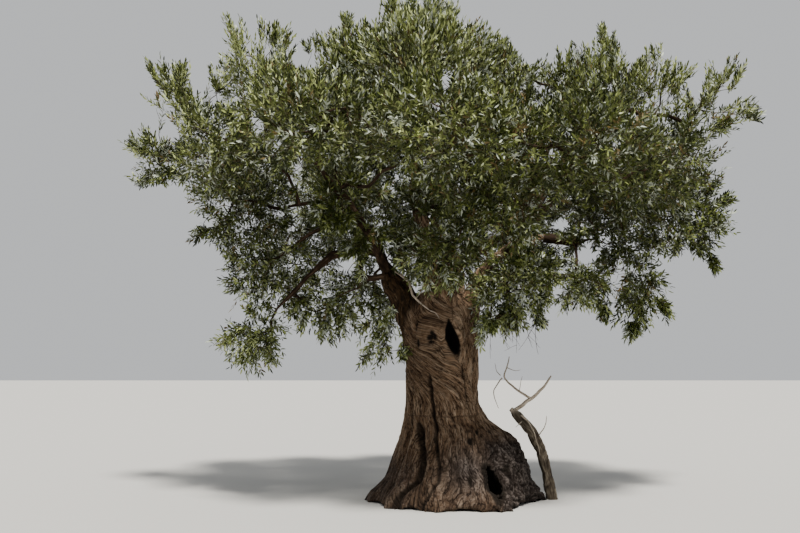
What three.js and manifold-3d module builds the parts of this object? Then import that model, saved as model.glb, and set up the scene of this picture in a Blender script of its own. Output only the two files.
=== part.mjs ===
// An old olive tree, rooted in the ground: a short, thick, hollowed trunk with a wide root flare,
// crooked boughs that leave its broken top, and a broad uneven crown in separate masses of foliage.
// Millimetres, +Z up. X runs along the crown's width, and -Y is the side that the knot hole faces.
// The origin is the middle of the flat cut at ground level.
import * as THREE from "three";
import { mergeVertices } from "three/addons/utils/BufferGeometryUtils.js";
import Module from "manifold-3d";

const wasm = await Module();
wasm.setup();

// Driving dimensions
const TRUNK_HEIGHT = 2380; // ground to the top of the broken stump
const WAIST_RADIUS = 415; // the narrowest part, a little over halfway up
const WAIST_LOW = 1200;
const WAIST_HIGH = 1500;
const SHOULDER_GROWTH = 62; // the trunk widens again below its boughs
const SKIRT_GROWTH = 170; // and towards the ground, all round
const SKIRT_FOOT = 300;
const CROWN_TOP_SHARE = 0.8; // of the trunk's height, where the top starts to round over
const TOP_RADIUS_SHARE = 0.55;
const LEAN = [-75, 20]; // how far the trunk's top stands from over its foot
const TRUNK_SIDES = 36;
const TRUNK_STEPS = 13;
const JOINT_GAP = 0.4; // the hair's breadth left where two pieces meet
const LIMB_SIDES = 7;
const LIMB_STEP = 300; // along a limb, between its rings
const LUMP = 0.13; // how far a mass swells and sinks, as a share of its radius
const FULL_DETAIL = 2;
const SMALL_DETAIL = 1;
const SMALL_MASS = 690; // a mass of a smaller mean radius than this gets fewer faces

// Root lobes: the way that each faces, in degrees from +X; its swell up the trunk, with the height
// where that begins and the drop over which it grows; and its toe, with the height that it dies in.
const ROOTS = [
  { facing: -4, wide: 38, swell: 330, from: 1000, over: 380, toe: 60, dies: 420 },
  { facing: 4, wide: 8, swell: 0, from: 1, over: 1, toe: 270, dies: 130 },
  { facing: 181, wide: 17, swell: 60, from: 800, over: 500, toe: 350, dies: 170 },
  { facing: 222, wide: 13, swell: 60, from: 900, over: 600, toe: 310, dies: 190 },
  { facing: 258, wide: 13, swell: 80, from: 1000, over: 700, toe: 230, dies: 240 },
  { facing: 300, wide: 14, swell: 100, from: 900, over: 500, toe: 230, dies: 220 },
  { facing: 46, wide: 16, swell: 100, from: 850, over: 500, toe: 280, dies: 210 },
  { facing: 92, wide: 15, swell: 70, from: 900, over: 600, toe: 260, dies: 200 },
  { facing: 136, wide: 16, swell: 90, from: 850, over: 550, toe: 300, dies: 190 },
];

// Hollows in the bark: the knot hole, and the cleft between the trunk's foot and its right root.
const HOLLOWS = [
  { at: [42, -400, 1860], size: [72, 250, 205] },
  { at: [450, -620, 290], size: [95, 220, 180] },
];

// Limbs in the order that they branch: the way through which each bends, and its radius at each end.
const LIMBS = [
  {
    name: "leader_left",
    thick: [215, 140],
    way: [[-200, 0, 1700], [-450, -20, 2200], [-610, 0, 2470], [-740, 20, 2740]],
  },
  {
    name: "stem_left",
    thick: [52, 29],
    way: [[-700, 20, 2600], [-800, 60, 2950], [-980, 110, 3190], [-1130, 130, 3460], [-1320, 100, 3800]],
  },
  {
    name: "arm_root",
    thick: [46, 38],
    way: [[-760, 50, 2850], [-1060, -30, 2880], [-1340, -50, 2840]],
  },
  {
    name: "arm_fall",
    thick: [38, 26],
    way: [[-1320, -50, 2850], [-1640, -80, 2540], [-1900, -100, 2270], [-2140, -100, 2010]],
  },
  {
    name: "arch_high",
    thick: [29, 19],
    way: [[-1110, 130, 3410], [-1420, 50, 3520], [-1800, 0, 3440], [-2300, 0, 3260]],
  },
  {
    name: "arch_low",
    thick: [26, 17],
    way: [[-1000, 110, 3200], [-1380, 0, 3200], [-1770, -100, 2930], [-2110, -150, 2680]],
  },
  {
    name: "leader_centre",
    thick: [145, 52],
    way: [[-20, 50, 1950], [-190, 120, 2700], [-320, 100, 3400], [-380, 50, 4100], [-350, 0, 4900]],
  },
  {
    name: "limb_centre",
    thick: [48, 32],
    way: [[-290, 100, 3330], [-30, -50, 3440], [300, -80, 3580], [750, -50, 3950]],
  },
  {
    name: "leader_right",
    thick: [180, 64],
    way: [[180, 50, 1900], [390, 0, 2500], [640, -20, 2790], [950, 0, 3000], [1220, 0, 3050]],
  },
  {
    name: "limb_right",
    thick: [52, 30],
    way: [[1190, 0, 3040], [1530, 0, 2980], [1840, 0, 3110], [2170, 0, 3300], [2900, 0, 3060]],
  },
  {
    name: "limb_right_high",
    thick: [84, 50],
    way: [[860, 20, 2930], [1120, 120, 3480], [1500, 150, 4050], [1750, 100, 4600]],
  },
  {
    name: "leader_back",
    thick: [150, 70],
    way: [[60, 150, 1950], [120, 560, 2600], [20, 1080, 3080], [-100, 1600, 3500]],
  },
  {
    name: "limb_back_left",
    thick: [82, 50],
    way: [[40, 860, 2890], [-540, 1250, 3170], [-1200, 1500, 3500]],
  },
  {
    name: "limb_back_right",
    thick: [84, 50],
    way: [[80, 760, 2790], [620, 1180, 3100], [1250, 1450, 3500]],
  },
  {
    name: "leader_front",
    thick: [140, 60],
    way: [[-10, -120, 1950], [10, -420, 2560], [-40, -880, 3010], [-80, -1350, 3450]],
  },
  {
    name: "limb_front_left",
    thick: [62, 36],
    way: [[-700, -20, 2640], [-960, -560, 3100], [-1450, -1300, 3700]],
  },
  {
    name: "limb_front_right",
    thick: [60, 36],
    way: [[690, -20, 2820], [980, -520, 3170], [1250, -1150, 3500]],
  },
  {
    name: "dead_sucker",
    thick: [74, 58],
    way: [[1220, 60, -60], [1150, 90, 400], [1010, 100, 760], [770, 100, 1020]],
  },
  {
    name: "dead_snag",
    thick: [20, 9],
    way: [[-590, -110, 2630], [-430, -200, 2500], [-390, -240, 2330], [-310, -420, 2240], [-190, -480, 2140]],
  },
];

// Masses of foliage: the centre of each, and its half width, half depth and half height.
const MASSES = [
  // the left side, from its furthest tip inwards
  { name: "left_tip", at: [-3430, 80, 4070], size: [460, 450, 340] },
  { name: "left_shoulder", at: [-3170, -280, 4640], size: [400, 540, 470] },
  { name: "left_crest", at: [-2270, 200, 5050], size: [640, 650, 720] },
  { name: "left_flank", at: [-2560, -500, 3980], size: [640, 640, 580] },
  { name: "left_skirt", at: [-2490, 250, 3390], size: [610, 560, 560] },
  { name: "left_inner", at: [-1700, -700, 4250], size: [700, 760, 680] },
  { name: "left_low", at: [-2200, -50, 2650], size: [410, 400, 360] },
  { name: "arm_tuft", at: [-2220, -100, 1880], size: [480, 430, 370] },
  { name: "arm_curtain", at: [-1420, 280, 2300], size: [500, 430, 460] },
  { name: "left_hollow", at: [-960, 560, 2660], size: [430, 400, 480] },
  { name: "trunk_sprig", at: [-760, 110, 1930], size: [220, 220, 600] },
  // the top
  { name: "top_left", at: [-1150, 250, 5140], size: [610, 740, 650] },
  { name: "peak", at: [-310, 0, 5430], size: [570, 760, 680] },
  { name: "top_right", at: [500, 100, 4950], size: [630, 740, 620] },
  { name: "top_back", at: [-100, 1200, 4950], size: [900, 700, 680] },
  { name: "top_front", at: [-250, -1050, 4750], size: [800, 720, 620] },
  { name: "heart_left", at: [-900, 250, 4300], size: [700, 760, 600] },
  { name: "heart_right", at: [550, 150, 4200], size: [760, 800, 600] },
  // the right side, from its furthest tip inwards
  { name: "right_tip", at: [3270, 0, 4680], size: [440, 430, 450] },
  { name: "right_shoulder", at: [2600, 0, 4790], size: [480, 580, 450] },
  { name: "right_crest", at: [1850, 100, 4720], size: [780, 760, 670] },
  { name: "right_flank", at: [2930, 200, 3850], size: [570, 620, 520] },
  { name: "right_skirt", at: [2860, 0, 3210], size: [570, 520, 480] },
  { name: "right_heart", at: [2000, 120, 3620], size: [710, 780, 670] },
  { name: "right_hanging", at: [2120, -120, 2570], size: [460, 470, 620] },
  { name: "right_low", at: [1450, -250, 2480], size: [400, 420, 330] },
  { name: "trunk_right_low", at: [790, -300, 2400], size: [520, 400, 480] },
  { name: "trunk_front_low", at: [-30, -960, 2750], size: [620, 460, 420] },
  // the front
  { name: "front_left", at: [-1500, -1650, 3950], size: [780, 660, 540] },
  { name: "front_centre", at: [-100, -1900, 3800], size: [820, 680, 650] },
  { name: "front_right", at: [1280, -1750, 3750], size: [760, 680, 600] },
  { name: "front_far_right", at: [2220, -1150, 3720], size: [640, 660, 580] },
  { name: "front_low", at: [500, -1350, 3170], size: [620, 560, 420] },
  // the back
  { name: "back_far_left", at: [-2500, 1250, 4050], size: [700, 680, 660] },
  { name: "back_left", at: [-1450, 1850, 3800], size: [740, 680, 700] },
  { name: "back_centre", at: [-50, 2150, 3700], size: [820, 680, 720] },
  { name: "back_right", at: [1350, 1900, 3750], size: [760, 680, 700] },
  { name: "back_far_right", at: [2450, 1300, 3950], size: [700, 680, 660] },
  { name: "back_low_left", at: [-1900, 1250, 3000], size: [620, 600, 520] },
  { name: "back_low_right", at: [1050, 1500, 2950], size: [600, 560, 480] },
];

const DEGREE = Math.PI / 180;
const ABOVE_GROUND = [0, 0, 1];

const BARK = new THREE.MeshStandardMaterial({ color: 0x6b5d4e, roughness: 0.92, metalness: 0 });
const DEAD_WOOD = new THREE.MeshStandardMaterial({ color: 0x9a9188, roughness: 0.88, metalness: 0 });
const FOLIAGE = new THREE.MeshStandardMaterial({ color: 0x5f6b3a, roughness: 0.7, metalness: 0 });

// A number from 0 to 1 for each seed, the same every time.
function chance(seed) {
  const x = Math.sin(seed * 127.1 + 311.7) * 43758.5453;
  return x - Math.floor(x);
}

function smooth(x) {
  const t = Math.min(1, Math.max(0, x));
  return t * t * (3 - 2 * t);
}

// three.js geometry to a manifold solid: only the positions count, with shared vertices merged.
function solidFrom(geometry) {
  const bare = geometry.index ? geometry.toNonIndexed() : geometry.clone();
  for (const name of Object.keys(bare.attributes)) {
    if (name !== "position") bare.deleteAttribute(name);
  }
  const merged = mergeVertices(bare, 1e-3);
  const made = new wasm.Mesh({
    numProp: 3,
    vertProperties: merged.attributes.position.array,
    triVerts: new Uint32Array(merged.index.array),
  });
  return new wasm.Manifold(made);
}

function geometryFrom(solid) {
  const mesh = solid.getMesh();
  const places = new Float32Array(mesh.numVert * 3);
  for (let i = 0; i < mesh.numVert; i++) {
    places.set(mesh.vertProperties.subarray(i * mesh.numProp, i * mesh.numProp + 3), i * 3);
  }
  const geometry = new THREE.BufferGeometry();
  geometry.setAttribute("position", new THREE.BufferAttribute(places, 3));
  geometry.setIndex(new THREE.BufferAttribute(mesh.triVerts, 1));
  geometry.computeVertexNormals();
  return geometry;
}

// Radius of the trunk's bark at a height and an angle from +X.
function trunkRadius(z, angle) {
  const shoulder = SHOULDER_GROWTH * smooth((z - WAIST_HIGH) / (TRUNK_HEIGHT - WAIST_HIGH));
  const skirt = SKIRT_GROWTH * smooth((WAIST_LOW - z) / (WAIST_LOW - SKIRT_FOOT));
  let radius = WAIST_RADIUS + shoulder + skirt;
  for (const root of ROOTS) {
    const turned = angle - DEGREE * root.facing;
    const away = Math.atan2(Math.sin(turned), Math.cos(turned)) / (DEGREE * root.wide);
    const share = Math.exp(-0.5 * away ** 2);
    const swell = root.swell * smooth((root.from - z) / root.over);
    const toe = root.toe * Math.exp(-((z / root.dies) ** 1.4));
    radius += share * (swell + toe);
  }
  const cap = (z / TRUNK_HEIGHT - CROWN_TOP_SHARE) / (1 - CROWN_TOP_SHARE);
  if (cap > 0) radius *= TOP_RADIUS_SHARE + (1 - TOP_RADIUS_SHARE) * Math.sqrt(1 - cap ** 2);
  return radius;
}

// The trunk as a closed solid of revolution, bent to its own outline. Grown, it cuts its neighbours.
function trunkSolid(grow = 0) {
  const body = new THREE.CylinderGeometry(1, 1, 1, TRUNK_SIDES, TRUNK_STEPS).rotateX(Math.PI / 2);
  const place = body.attributes.position;
  for (let i = 0; i < place.count; i++) {
    const share = place.getZ(i) + 0.5;
    const z = TRUNK_HEIGHT * share ** 1.25; // rings lie closer together in the flare
    const angle = Math.atan2(place.getY(i), place.getX(i));
    const out = Math.hypot(place.getX(i), place.getY(i)) > 0.5 ? trunkRadius(z, angle) + grow : 0;
    const lean = smooth(z / TRUNK_HEIGHT);
    const lift = share > 0.999 ? grow : 0;
    const x = LEAN[0] * lean + out * Math.cos(angle);
    const y = LEAN[1] * lean + out * Math.sin(angle);
    place.setXYZ(i, x, y, z + lift);
  }
  return solidFrom(body);
}

function hollowSolid(hollow) {
  const ball = new THREE.IcosahedronGeometry(1, SMALL_DETAIL);
  return solidFrom(ball.scale(...hollow.size).translate(...hollow.at));
}

// A tapering limb along a smooth curve, with closed ends.
function limbSolid(limb, grow = 0) {
  const curve = new THREE.CatmullRomCurve3(limb.way.map((p) => new THREE.Vector3(...p)));
  const steps = Math.max(4, Math.round(curve.getLength() / LIMB_STEP));
  const frames = curve.computeFrenetFrames(steps);
  const body = new THREE.CylinderGeometry(1, 1, 1, LIMB_SIDES, steps).rotateX(Math.PI / 2);
  const place = body.attributes.position;
  for (let i = 0; i < place.count; i++) {
    const step = Math.round((place.getZ(i) + 0.5) * steps);
    const share = step / steps;
    const radius = limb.thick[0] + (limb.thick[1] - limb.thick[0]) * share + grow;
    const point = curve.getPointAt(share);
    if (step === 0) point.addScaledVector(frames.tangents[0], -grow);
    if (step === steps) point.addScaledVector(frames.tangents[steps], grow);
    point.addScaledVector(frames.normals[step], place.getX(i) * radius);
    point.addScaledVector(frames.binormals[step], place.getY(i) * radius);
    place.setXYZ(i, point.x, point.y, point.z);
  }
  const solid = solidFrom(body);
  return solid.volume() > 0 ? solid : solidFrom(flipped(body));
}

function flipped(geometry) {
  const index = geometry.index.array;
  for (let i = 0; i < index.length; i += 3) {
    [index[i + 1], index[i + 2]] = [index[i + 2], index[i + 1]];
  }
  return geometry;
}

// One uneven lump: a ball whose radius swells and sinks with a few seeded waves.
function lumpSolid(mass, order) {
  const mean = (mass.size[0] + mass.size[1] + mass.size[2]) / 3;
  const ball = new THREE.IcosahedronGeometry(1, mean < SMALL_MASS ? SMALL_DETAIL : FULL_DETAIL);
  const place = ball.attributes.position;
  const way = new THREE.Vector3();
  for (let i = 0; i < place.count; i++) {
    way.fromBufferAttribute(place, i);
    let swell = 1;
    for (let wave = 0; wave < 4; wave++) {
      const seed = order * 17 + wave * 5;
      const axis = new THREE.Vector3(...[0, 1, 2].map((k) => chance(seed + k) - 0.5)).normalize();
      const beat = 3 + 2 * wave;
      swell += (LUMP / (1 + 0.6 * wave)) * Math.sin(beat * way.dot(axis) + 6.28 * chance(seed + 3));
    }
    way.multiplyScalar(swell);
    place.setXYZ(
      i,
      mass.at[0] + way.x * mass.size[0],
      mass.at[1] + way.y * mass.size[1],
      mass.at[2] + way.z * mass.size[2],
    );
  }
  return solidFrom(ball);
}

// How far a mass reaches from its centre along a direction.
function reach(mass, way) {
  return 1 / Math.hypot(way.x / mass.size[0], way.y / mass.size[1], way.z / mass.size[2]);
}

// A mass cut flat where it meets each neighbour.
function massSolid(mass, order) {
  let solid = lumpSolid(mass, order);
  const centre = new THREE.Vector3(...mass.at);
  for (const other of MASSES) {
    if (other === mass) continue;
    const way = new THREE.Vector3(...other.at).sub(centre);
    const apart = way.length();
    way.normalize();
    const mine = reach(mass, way);
    const theirs = reach(other, way);
    if (apart > 1.7 * (mine + theirs)) continue;
    const meet = (apart * mine) / (mine + theirs);
    const offset = JOINT_GAP / 2 - centre.dot(way) - meet;
    solid = solid.trimByPlane([-way.x, -way.y, -way.z], offset);
  }
  return solid;
}

// The same mass a hair larger, which cuts the limbs that enter it.
function grownMass(mass, solid) {
  const scale = 1 + JOINT_GAP / Math.min(...mass.size);
  const back = mass.at.map((c) => -c);
  return solid.translate(back).scale(scale).translate(mass.at);
}

// The piece of a cut limb that holds the limb's foot, or comes nearest to it.
function rootedPiece(solid, foot) {
  let best = null;
  let least = Infinity;
  for (const piece of solid.decompose()) {
    const box = piece.boundingBox();
    const gap = Math.hypot(...foot.map((c, k) => Math.max(box.min[k] - c, 0, c - box.max[k])));
    if (gap < least - 1 || (Math.abs(gap - least) <= 1 && piece.volume() > best.volume())) {
      best = piece;
      least = gap;
    }
  }
  return best;
}

function namedMesh(name, solid, material) {
  const mesh = new THREE.Mesh(geometryFrom(solid), material);
  mesh.name = name;
  return mesh;
}

const tree = new THREE.Group();
const grownTrunk = trunkSolid(JOINT_GAP);
let trunk = trunkSolid();
for (const hollow of HOLLOWS) trunk = trunk.subtract(hollowSolid(hollow));
tree.add(namedMesh("trunk", trunk, BARK));

const masses = MASSES.map((mass, order) => massSolid(mass, order).subtract(grownTrunk));
const grownMasses = MASSES.map((mass, order) => grownMass(mass, masses[order]));

const grownLimbs = [];
for (const limb of LIMBS) {
  let solid = limbSolid(limb).trimByPlane(ABOVE_GROUND, 0).subtract(grownTrunk);
  for (const parent of grownLimbs) solid = solid.subtract(parent);
  for (const mass of grownMasses) solid = solid.subtract(mass);
  const kept = rootedPiece(solid, limb.way[0]);
  grownLimbs.push(limbSolid(limb, JOINT_GAP));
  tree.add(namedMesh(limb.name, kept, limb.name.startsWith("dead") ? DEAD_WOOD : BARK));
}

MASSES.forEach((mass, order) => {
  tree.add(namedMesh("foliage_" + mass.name, masses[order], FOLIAGE));
});

export default tree;
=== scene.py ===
"""An old olive tree: furrowed trunk, crooked boughs, and a crown of twigs and narrow leaves.

The boughs start from the frame's limbs and grow on, by a seeded branching rule, into each mass of
foliage. Every shoot then carries pairs of leaves. Lengths are in metres, and -Y faces the camera.
"""

import bmesh
import bpy
import itertools
import math
import numpy as np
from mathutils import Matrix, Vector
from mathutils.bvhtree import BVHTree
from mathutils.kdtree import KDTree


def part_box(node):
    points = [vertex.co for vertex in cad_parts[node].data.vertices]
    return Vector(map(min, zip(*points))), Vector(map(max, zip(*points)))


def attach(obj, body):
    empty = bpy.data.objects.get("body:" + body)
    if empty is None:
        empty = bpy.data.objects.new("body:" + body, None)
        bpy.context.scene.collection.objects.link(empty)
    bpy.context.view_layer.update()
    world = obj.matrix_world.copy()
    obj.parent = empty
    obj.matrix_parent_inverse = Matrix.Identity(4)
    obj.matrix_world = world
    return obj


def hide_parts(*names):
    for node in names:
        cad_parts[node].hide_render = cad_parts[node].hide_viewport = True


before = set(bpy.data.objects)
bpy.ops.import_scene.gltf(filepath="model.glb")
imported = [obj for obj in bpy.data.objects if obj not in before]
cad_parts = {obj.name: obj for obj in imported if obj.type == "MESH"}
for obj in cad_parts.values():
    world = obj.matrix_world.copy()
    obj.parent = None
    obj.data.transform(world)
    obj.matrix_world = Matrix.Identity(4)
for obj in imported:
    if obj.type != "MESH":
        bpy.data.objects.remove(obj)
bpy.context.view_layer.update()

PREFIX = "foliage_"
FOLIAGE = sorted(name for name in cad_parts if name.startswith(PREFIX))

SEED = 7
UP = np.array([0.0, 0.0, 1.0])

# Camera: a person's eye height, with a 40 mm lens that looks a little upwards
EYE_HEIGHT = 1.6
CAMERA_PLACE = (-0.54, -10.441, EYE_HEIGHT)
CAMERA_TILT = 6.004
CAMERA_LENS = 40.0

# Light and floor. Angles are in degrees.
SKY_COLOUR = (0.94, 0.96, 0.98)
SKY_STRENGTH = 0.66
SUN_COLOUR = (1.0, 0.96, 0.88)
SUN_STRENGTH = 8.5
SUN_BLUR = 9
SUN_TURN = (29, -3, 20)
FLOOR_SIZE = 120.0
FLOOR_COLOUR = (0.42, 0.415, 0.40)

# The trunk or limb that each limb leaves, by the frame's names
PARENTS = {
    "leader_left": "trunk",
    "leader_centre": "trunk",
    "leader_right": "trunk",
    "leader_back": "trunk",
    "leader_front": "trunk",
    "stem_left": "leader_left",
    "limb_front_left": "leader_left",
    "arm_root": "stem_left",
    "arm_fall": "arm_root",
    "arch_high": "stem_left",
    "arch_low": "stem_left",
    "limb_centre": "leader_centre",
    "limb_right": "leader_right",
    "limb_right_high": "leader_right",
    "limb_front_right": "leader_right",
    "limb_back_left": "leader_back",
    "limb_back_right": "leader_back",
    "dead_snag": "leader_left",
    "dead_sucker": "trunk",
}
DEAD = ("dead_snag", "dead_sucker")
# Limbs thick enough to be one skin with the trunk
STOUT = ("leader_left", "leader_centre", "leader_right", "leader_back", "leader_front")
SLIM = tuple(name for name in PARENTS if name not in STOUT + DEAD)

# Growth: how far apart the points of a limb lie, and every which one may sprout
LIMB_STEP = 0.08
DEAD_STEP = 0.025
BUD_EVERY = 4
# The share of a limb's length that stays bare at its foot: of one on another limb, and on the trunk
BARE_SHARE = (0.3, 0.55)
# Goals for boughs and twigs: their gap, the tries in a cubic metre, and the least depth in the crown
BOUGH_GOALS = (0.42, 60, 0.3)
TWIG_GOALS = (0.122, 2200, 0.2)
BOUGH_STEP = 0.14
BOUGH_REACH = 0.2
TWIG_STEP = 0.09
TWIG_REACH = 0.12
# How much each step strays, and how much it keeps the way of the step before
WANDER = 0.3
KEEPS_WAY = 0.45
MOST_ROUNDS = 120
SHOOTS_PER_TWIG = 4
# A mass less than this across is filled more closely
THICK_MASS = 0.95
# How far a shoot's tip may stand out of the frame's masses
SHOOT_STANDS_OUT = (-0.03, 0.08)
# The shares of its length that a shoot is tried at, until it fits
SHORTER = (1.0, 0.8, 0.6, 0.45)
# How deep a place lies, at least, that counts as inside the crown
DEEP = 0.45
# How far round itself a goal looks for the crown's edge, and how much longer shoots are there
EDGE_REACH = 0.45
LONG_EDGE = 0.3
# A twig's radius, how it grows with the shoots that it feeds, and up to where its bark is young
TWIG_RADIUS = 0.0022
PIPE_POWER = 0.5
YOUNG_RADIUS = 0.009

# Shoots and leaves. A stem has rings at shares of its length, each with its radius.
FULL_STEM = ((0.0, 0.0026), (0.5, 0.0019), (1.0, 0.0008))
PLAIN_STEM = ((0.0, 0.0025), (1.0, 0.0009))
THIRDS = (0.0, 2.094, 4.189)
SHOOT_LENGTH = (0.19, 0.32)
LEAF_PAIRS = 7
LEAVES_EACH = 2 * LEAF_PAIRS + 1
LEAF_LENGTH = 0.079
LEAF_WIDTH = 0.02
# A shoot further out than this in the crown has leaves of four faces, the others of two
FULL_LEAVES_FROM = 0.84
CROWN_MIDDLE = np.array([0.0, 0.0, 3.9])
CROWN_REACH = np.array([3.7, 2.6, 2.15])
# The share of leaves that keep a tone of their own
ODD_LEAVES = 0.4
# Corners of a leaf: along it, out from its middle in half widths, and up, then its faces
FULL_BLADE = (
    (0, 0, 0), (0.3, 1, 0.04), (0.3, -1, 0.04), (0.68, 0.9, -0.01), (0.68, -0.9, -0.01), (1, 0, -0.12),
)
FULL_FACES = ((0, 2, 1), (1, 2, 4), (1, 4, 3), (3, 4, 5))
PLAIN_BLADE = ((0, 0, 0), (0.46, 1.16, 0.05), (0.46, -1.16, 0.05), (1, 0, -0.06))
PLAIN_FACES = ((0, 2, 1), (1, 2, 3))

# How full each mass is, by its name after the prefix, where it isn't as full as the rest
FULLNESS = {
    "arm_curtain": 0.75,
    "left_low": 0.6,
    "back_low_left": 0.6,
    "trunk_sprig": 0.4,
    "left_tip": 0.7,
    "left_shoulder": 0.38,
    "left_crest": 0.62,
    "left_skirt": 0.8,
    "trunk_right_low": 0.85,
    "right_tip": 0.5,
    "right_shoulder": 0.6,
    "right_flank": 0.75,
    "heart_right": 0.8,
    "right_heart": 0.8,
    "back_left": 0.8,
    "back_right": 0.8,
}

# Leafy sprigs on a limb: from which share of its length to which, and how many twigs
SPRIGS = {
    "leader_left": (0.35, 1.0, 30),
    "stem_left": (0.0, 1.0, 50),
    "leader_centre": (0.25, 1.0, 40),
    "limb_right": (0.25, 0.9, 22),
    "leader_right": (0.45, 1.0, 22),
    "limb_front_left": (0.0, 0.95, 60),
}
SPRIG_REACH = (0.12, 0.42)

# Sprays that stand clear of the masses: their middle, their half sizes, and how many twigs each has
SPRAYS = (
    ((-3.46, -0.1, 4.92), (0.05, 0.12, 0.12), 4), ((-3.14, -0.1, 4.9), (0.05, 0.12, 0.1), 3),
    ((-2.7, 0.0, 4.72), (0.1, 0.2, 0.18), 8), ((-3.36, 0.0, 3.8), (0.26, 0.15, 0.05), 9),
    ((-3.46, 0.0, 4.3), (0.1, 0.12, 0.05), 4), ((-2.1, 0.1, 5.44), (0.15, 0.15, 0.06), 7),
    ((-1.64, 0.1, 5.26), (0.07, 0.12, 0.05), 4), ((-1.18, 0.1, 5.58), (0.07, 0.2, 0.1), 7),
    ((-0.56, 0.1, 5.66), (0.1, 0.2, 0.08), 6), ((2.0, 0.1, 5.44), (0.1, 0.15, 0.08), 7),
    ((2.48, 0.1, 5.14), (0.09, 0.12, 0.06), 4), ((3.47, 0.0, 4.82), (0.06, 0.12, 0.08), 4),
    ((3.2, 0.1, 4.8), (0.06, 0.12, 0.05), 3), ((3.58, 0.0, 4.47), (0.12, 0.1, 0.04), 3),
    ((3.34, 0.0, 4.34), (0.12, 0.1, 0.05), 4), ((2.94, 0.1, 4.32), (0.08, 0.12, 0.1), 6),
    ((3.34, 0.1, 3.5), (0.06, 0.1, 0.08), 6), ((3.12, 0.0, 2.8), (0.07, 0.1, 0.06), 4),
    ((2.45, 0.1, 3.04), (0.15, 0.15, 0.1), 6), ((2.48, -0.1, 2.2), (0.06, 0.1, 0.07), 5),
    ((2.08, -0.1, 2.02), (0.1, 0.12, 0.05), 7), ((1.84, -0.1, 2.22), (0.06, 0.1, 0.07), 4),
    ((1.12, -0.1, 2.14), (0.08, 0.1, 0.05), 3), ((0.92, -0.5, 2.72), (0.32, 0.1, 0.14), 20),
    ((-1.98, 0.1, 3.28), (0.15, 0.15, 0.14), 8), ((-1.78, 0.0, 2.86), (0.1, 0.15, 0.08), 5),
    ((-2.9, 0.1, 3.14), (0.06, 0.12, 0.1), 4), ((-0.94, -0.72, 2.92), (0.2, 0.1, 0.2), 24),
    ((-1.22, -1.1, 3.26), (0.18, 0.12, 0.22), 26), ((-0.52, 0.02, 1.92), (0.07, 0.08, 0.3), 6),
    ((0.46, -0.5, 2.02), (0.12, 0.06, 0.14), 9), ((0.72, -0.3, 2.2), (0.14, 0.06, 0.05), 6),
    ((-0.26, -0.55, 3.2), (0.16, 0.12, 0.32), 24), ((-0.62, -0.3, 2.74), (0.1, 0.12, 0.14), 9),
    ((1.1, 0.1, 4.88), (0.16, 0.3, 0.16), 8),
)
# Where the sky shows through or notches the crown, as the camera sees it in the plane of the trunk: the
# middle, across and up, then the half width and half height
SKY_GAPS = (
    (-2.14, 5.33, 0.08, 0.07), (-2.32, 5.36, 0.08, 0.09), (-1.74, 5.17, 0.15, 0.11),
    (-2.84, 5.25, 0.1, 0.1), (-1.35, 5.74, 0.09, 0.14), (-2.76, 5.46, 0.11, 0.16),
    (-2.98, 5.06, 0.09, 0.17), (-3.2, 5.3, 0.16, 0.1), (-3.32, 4.31, 0.13, 0.07), (-3.52, 4.53, 0.2, 0.14),
    (-3.74, 5.05, 0.16, 0.26), (-1.84, 3.74, 0.06, 0.09), (-3.9, 3.92, 0.12, 0.16),
    (-3.18, 3.52, 0.1, 0.08), (-3.24, 2.96, 0.14, 0.16), (-2.6, 3.43, 0.06, 0.06),
    (-2.24, 4.4, 0.07, 0.12), (-2.66, 4.2, 0.05, 0.08), (-2.86, 3.98, 0.06, 0.06),
    (-2.0, 4.16, 0.07, 0.08), (-1.74, 3.9, 0.07, 0.07), (-1.12, 2.7, 0.07, 0.1), (-0.26, 3.23, 0.11, 0.08),
    (0.02, 4.88, 0.09, 0.12), (-0.12, 4.64, 0.12, 0.08), (-0.82, 5.86, 0.1, 0.12), (0.34, 5.8, 0.16, 0.14),
    (0.74, 5.54, 0.09, 0.12), (0.98, 5.36, 0.15, 0.12), (1.24, 5.36, 0.22, 0.13), (2.27, 5.28, 0.12, 0.09),
    (2.66, 5.09, 0.07, 0.06), (1.36, 3.2, 0.09, 0.1), (1.44, 3.18, 0.07, 0.07), (1.66, 2.82, 0.08, 0.09),
    (2.02, 2.58, 0.07, 0.08), (2.04, 4.15, 0.06, 0.06), (1.56, 2.12, 0.11, 0.06), (1.4, 2.02, 0.12, 0.1),
    (1.3, 2.42, 0.08, 0.07), (0.86, 1.84, 0.14, 0.1), (2.36, 4.52, 0.08, 0.06), (2.6, 4.43, 0.11, 0.06),
    (2.58, 4.74, 0.1, 0.07), (3.0, 4.86, 0.12, 0.12), (2.98, 5.26, 0.14, 0.1), (3.34, 5.17, 0.09, 0.1),
    (3.38, 4.72, 0.1, 0.07), (3.58, 4.86, 0.06, 0.08), (3.78, 5.0, 0.14, 0.22), (3.7, 4.38, 0.1, 0.06),
    (3.26, 3.93, 0.12, 0.06), (2.99, 4.05, 0.07, 0.06), (3.6, 3.88, 0.12, 0.1), (3.5, 3.04, 0.1, 0.2),
    (2.55, 2.8, 0.09, 0.09), (2.74, 2.38, 0.09, 0.2), (2.88, 2.85, 0.08, 0.06),
)
# Where the left bough shows, bare of leaves, in the same measures
BARE_WOOD = (
    (-0.84, 2.86, 0.09, 0.1), (-0.74, 2.68, 0.1, 0.12), (-0.62, 2.5, 0.12, 0.12),
    (-0.47, 2.32, 0.12, 0.12),
)

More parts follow.
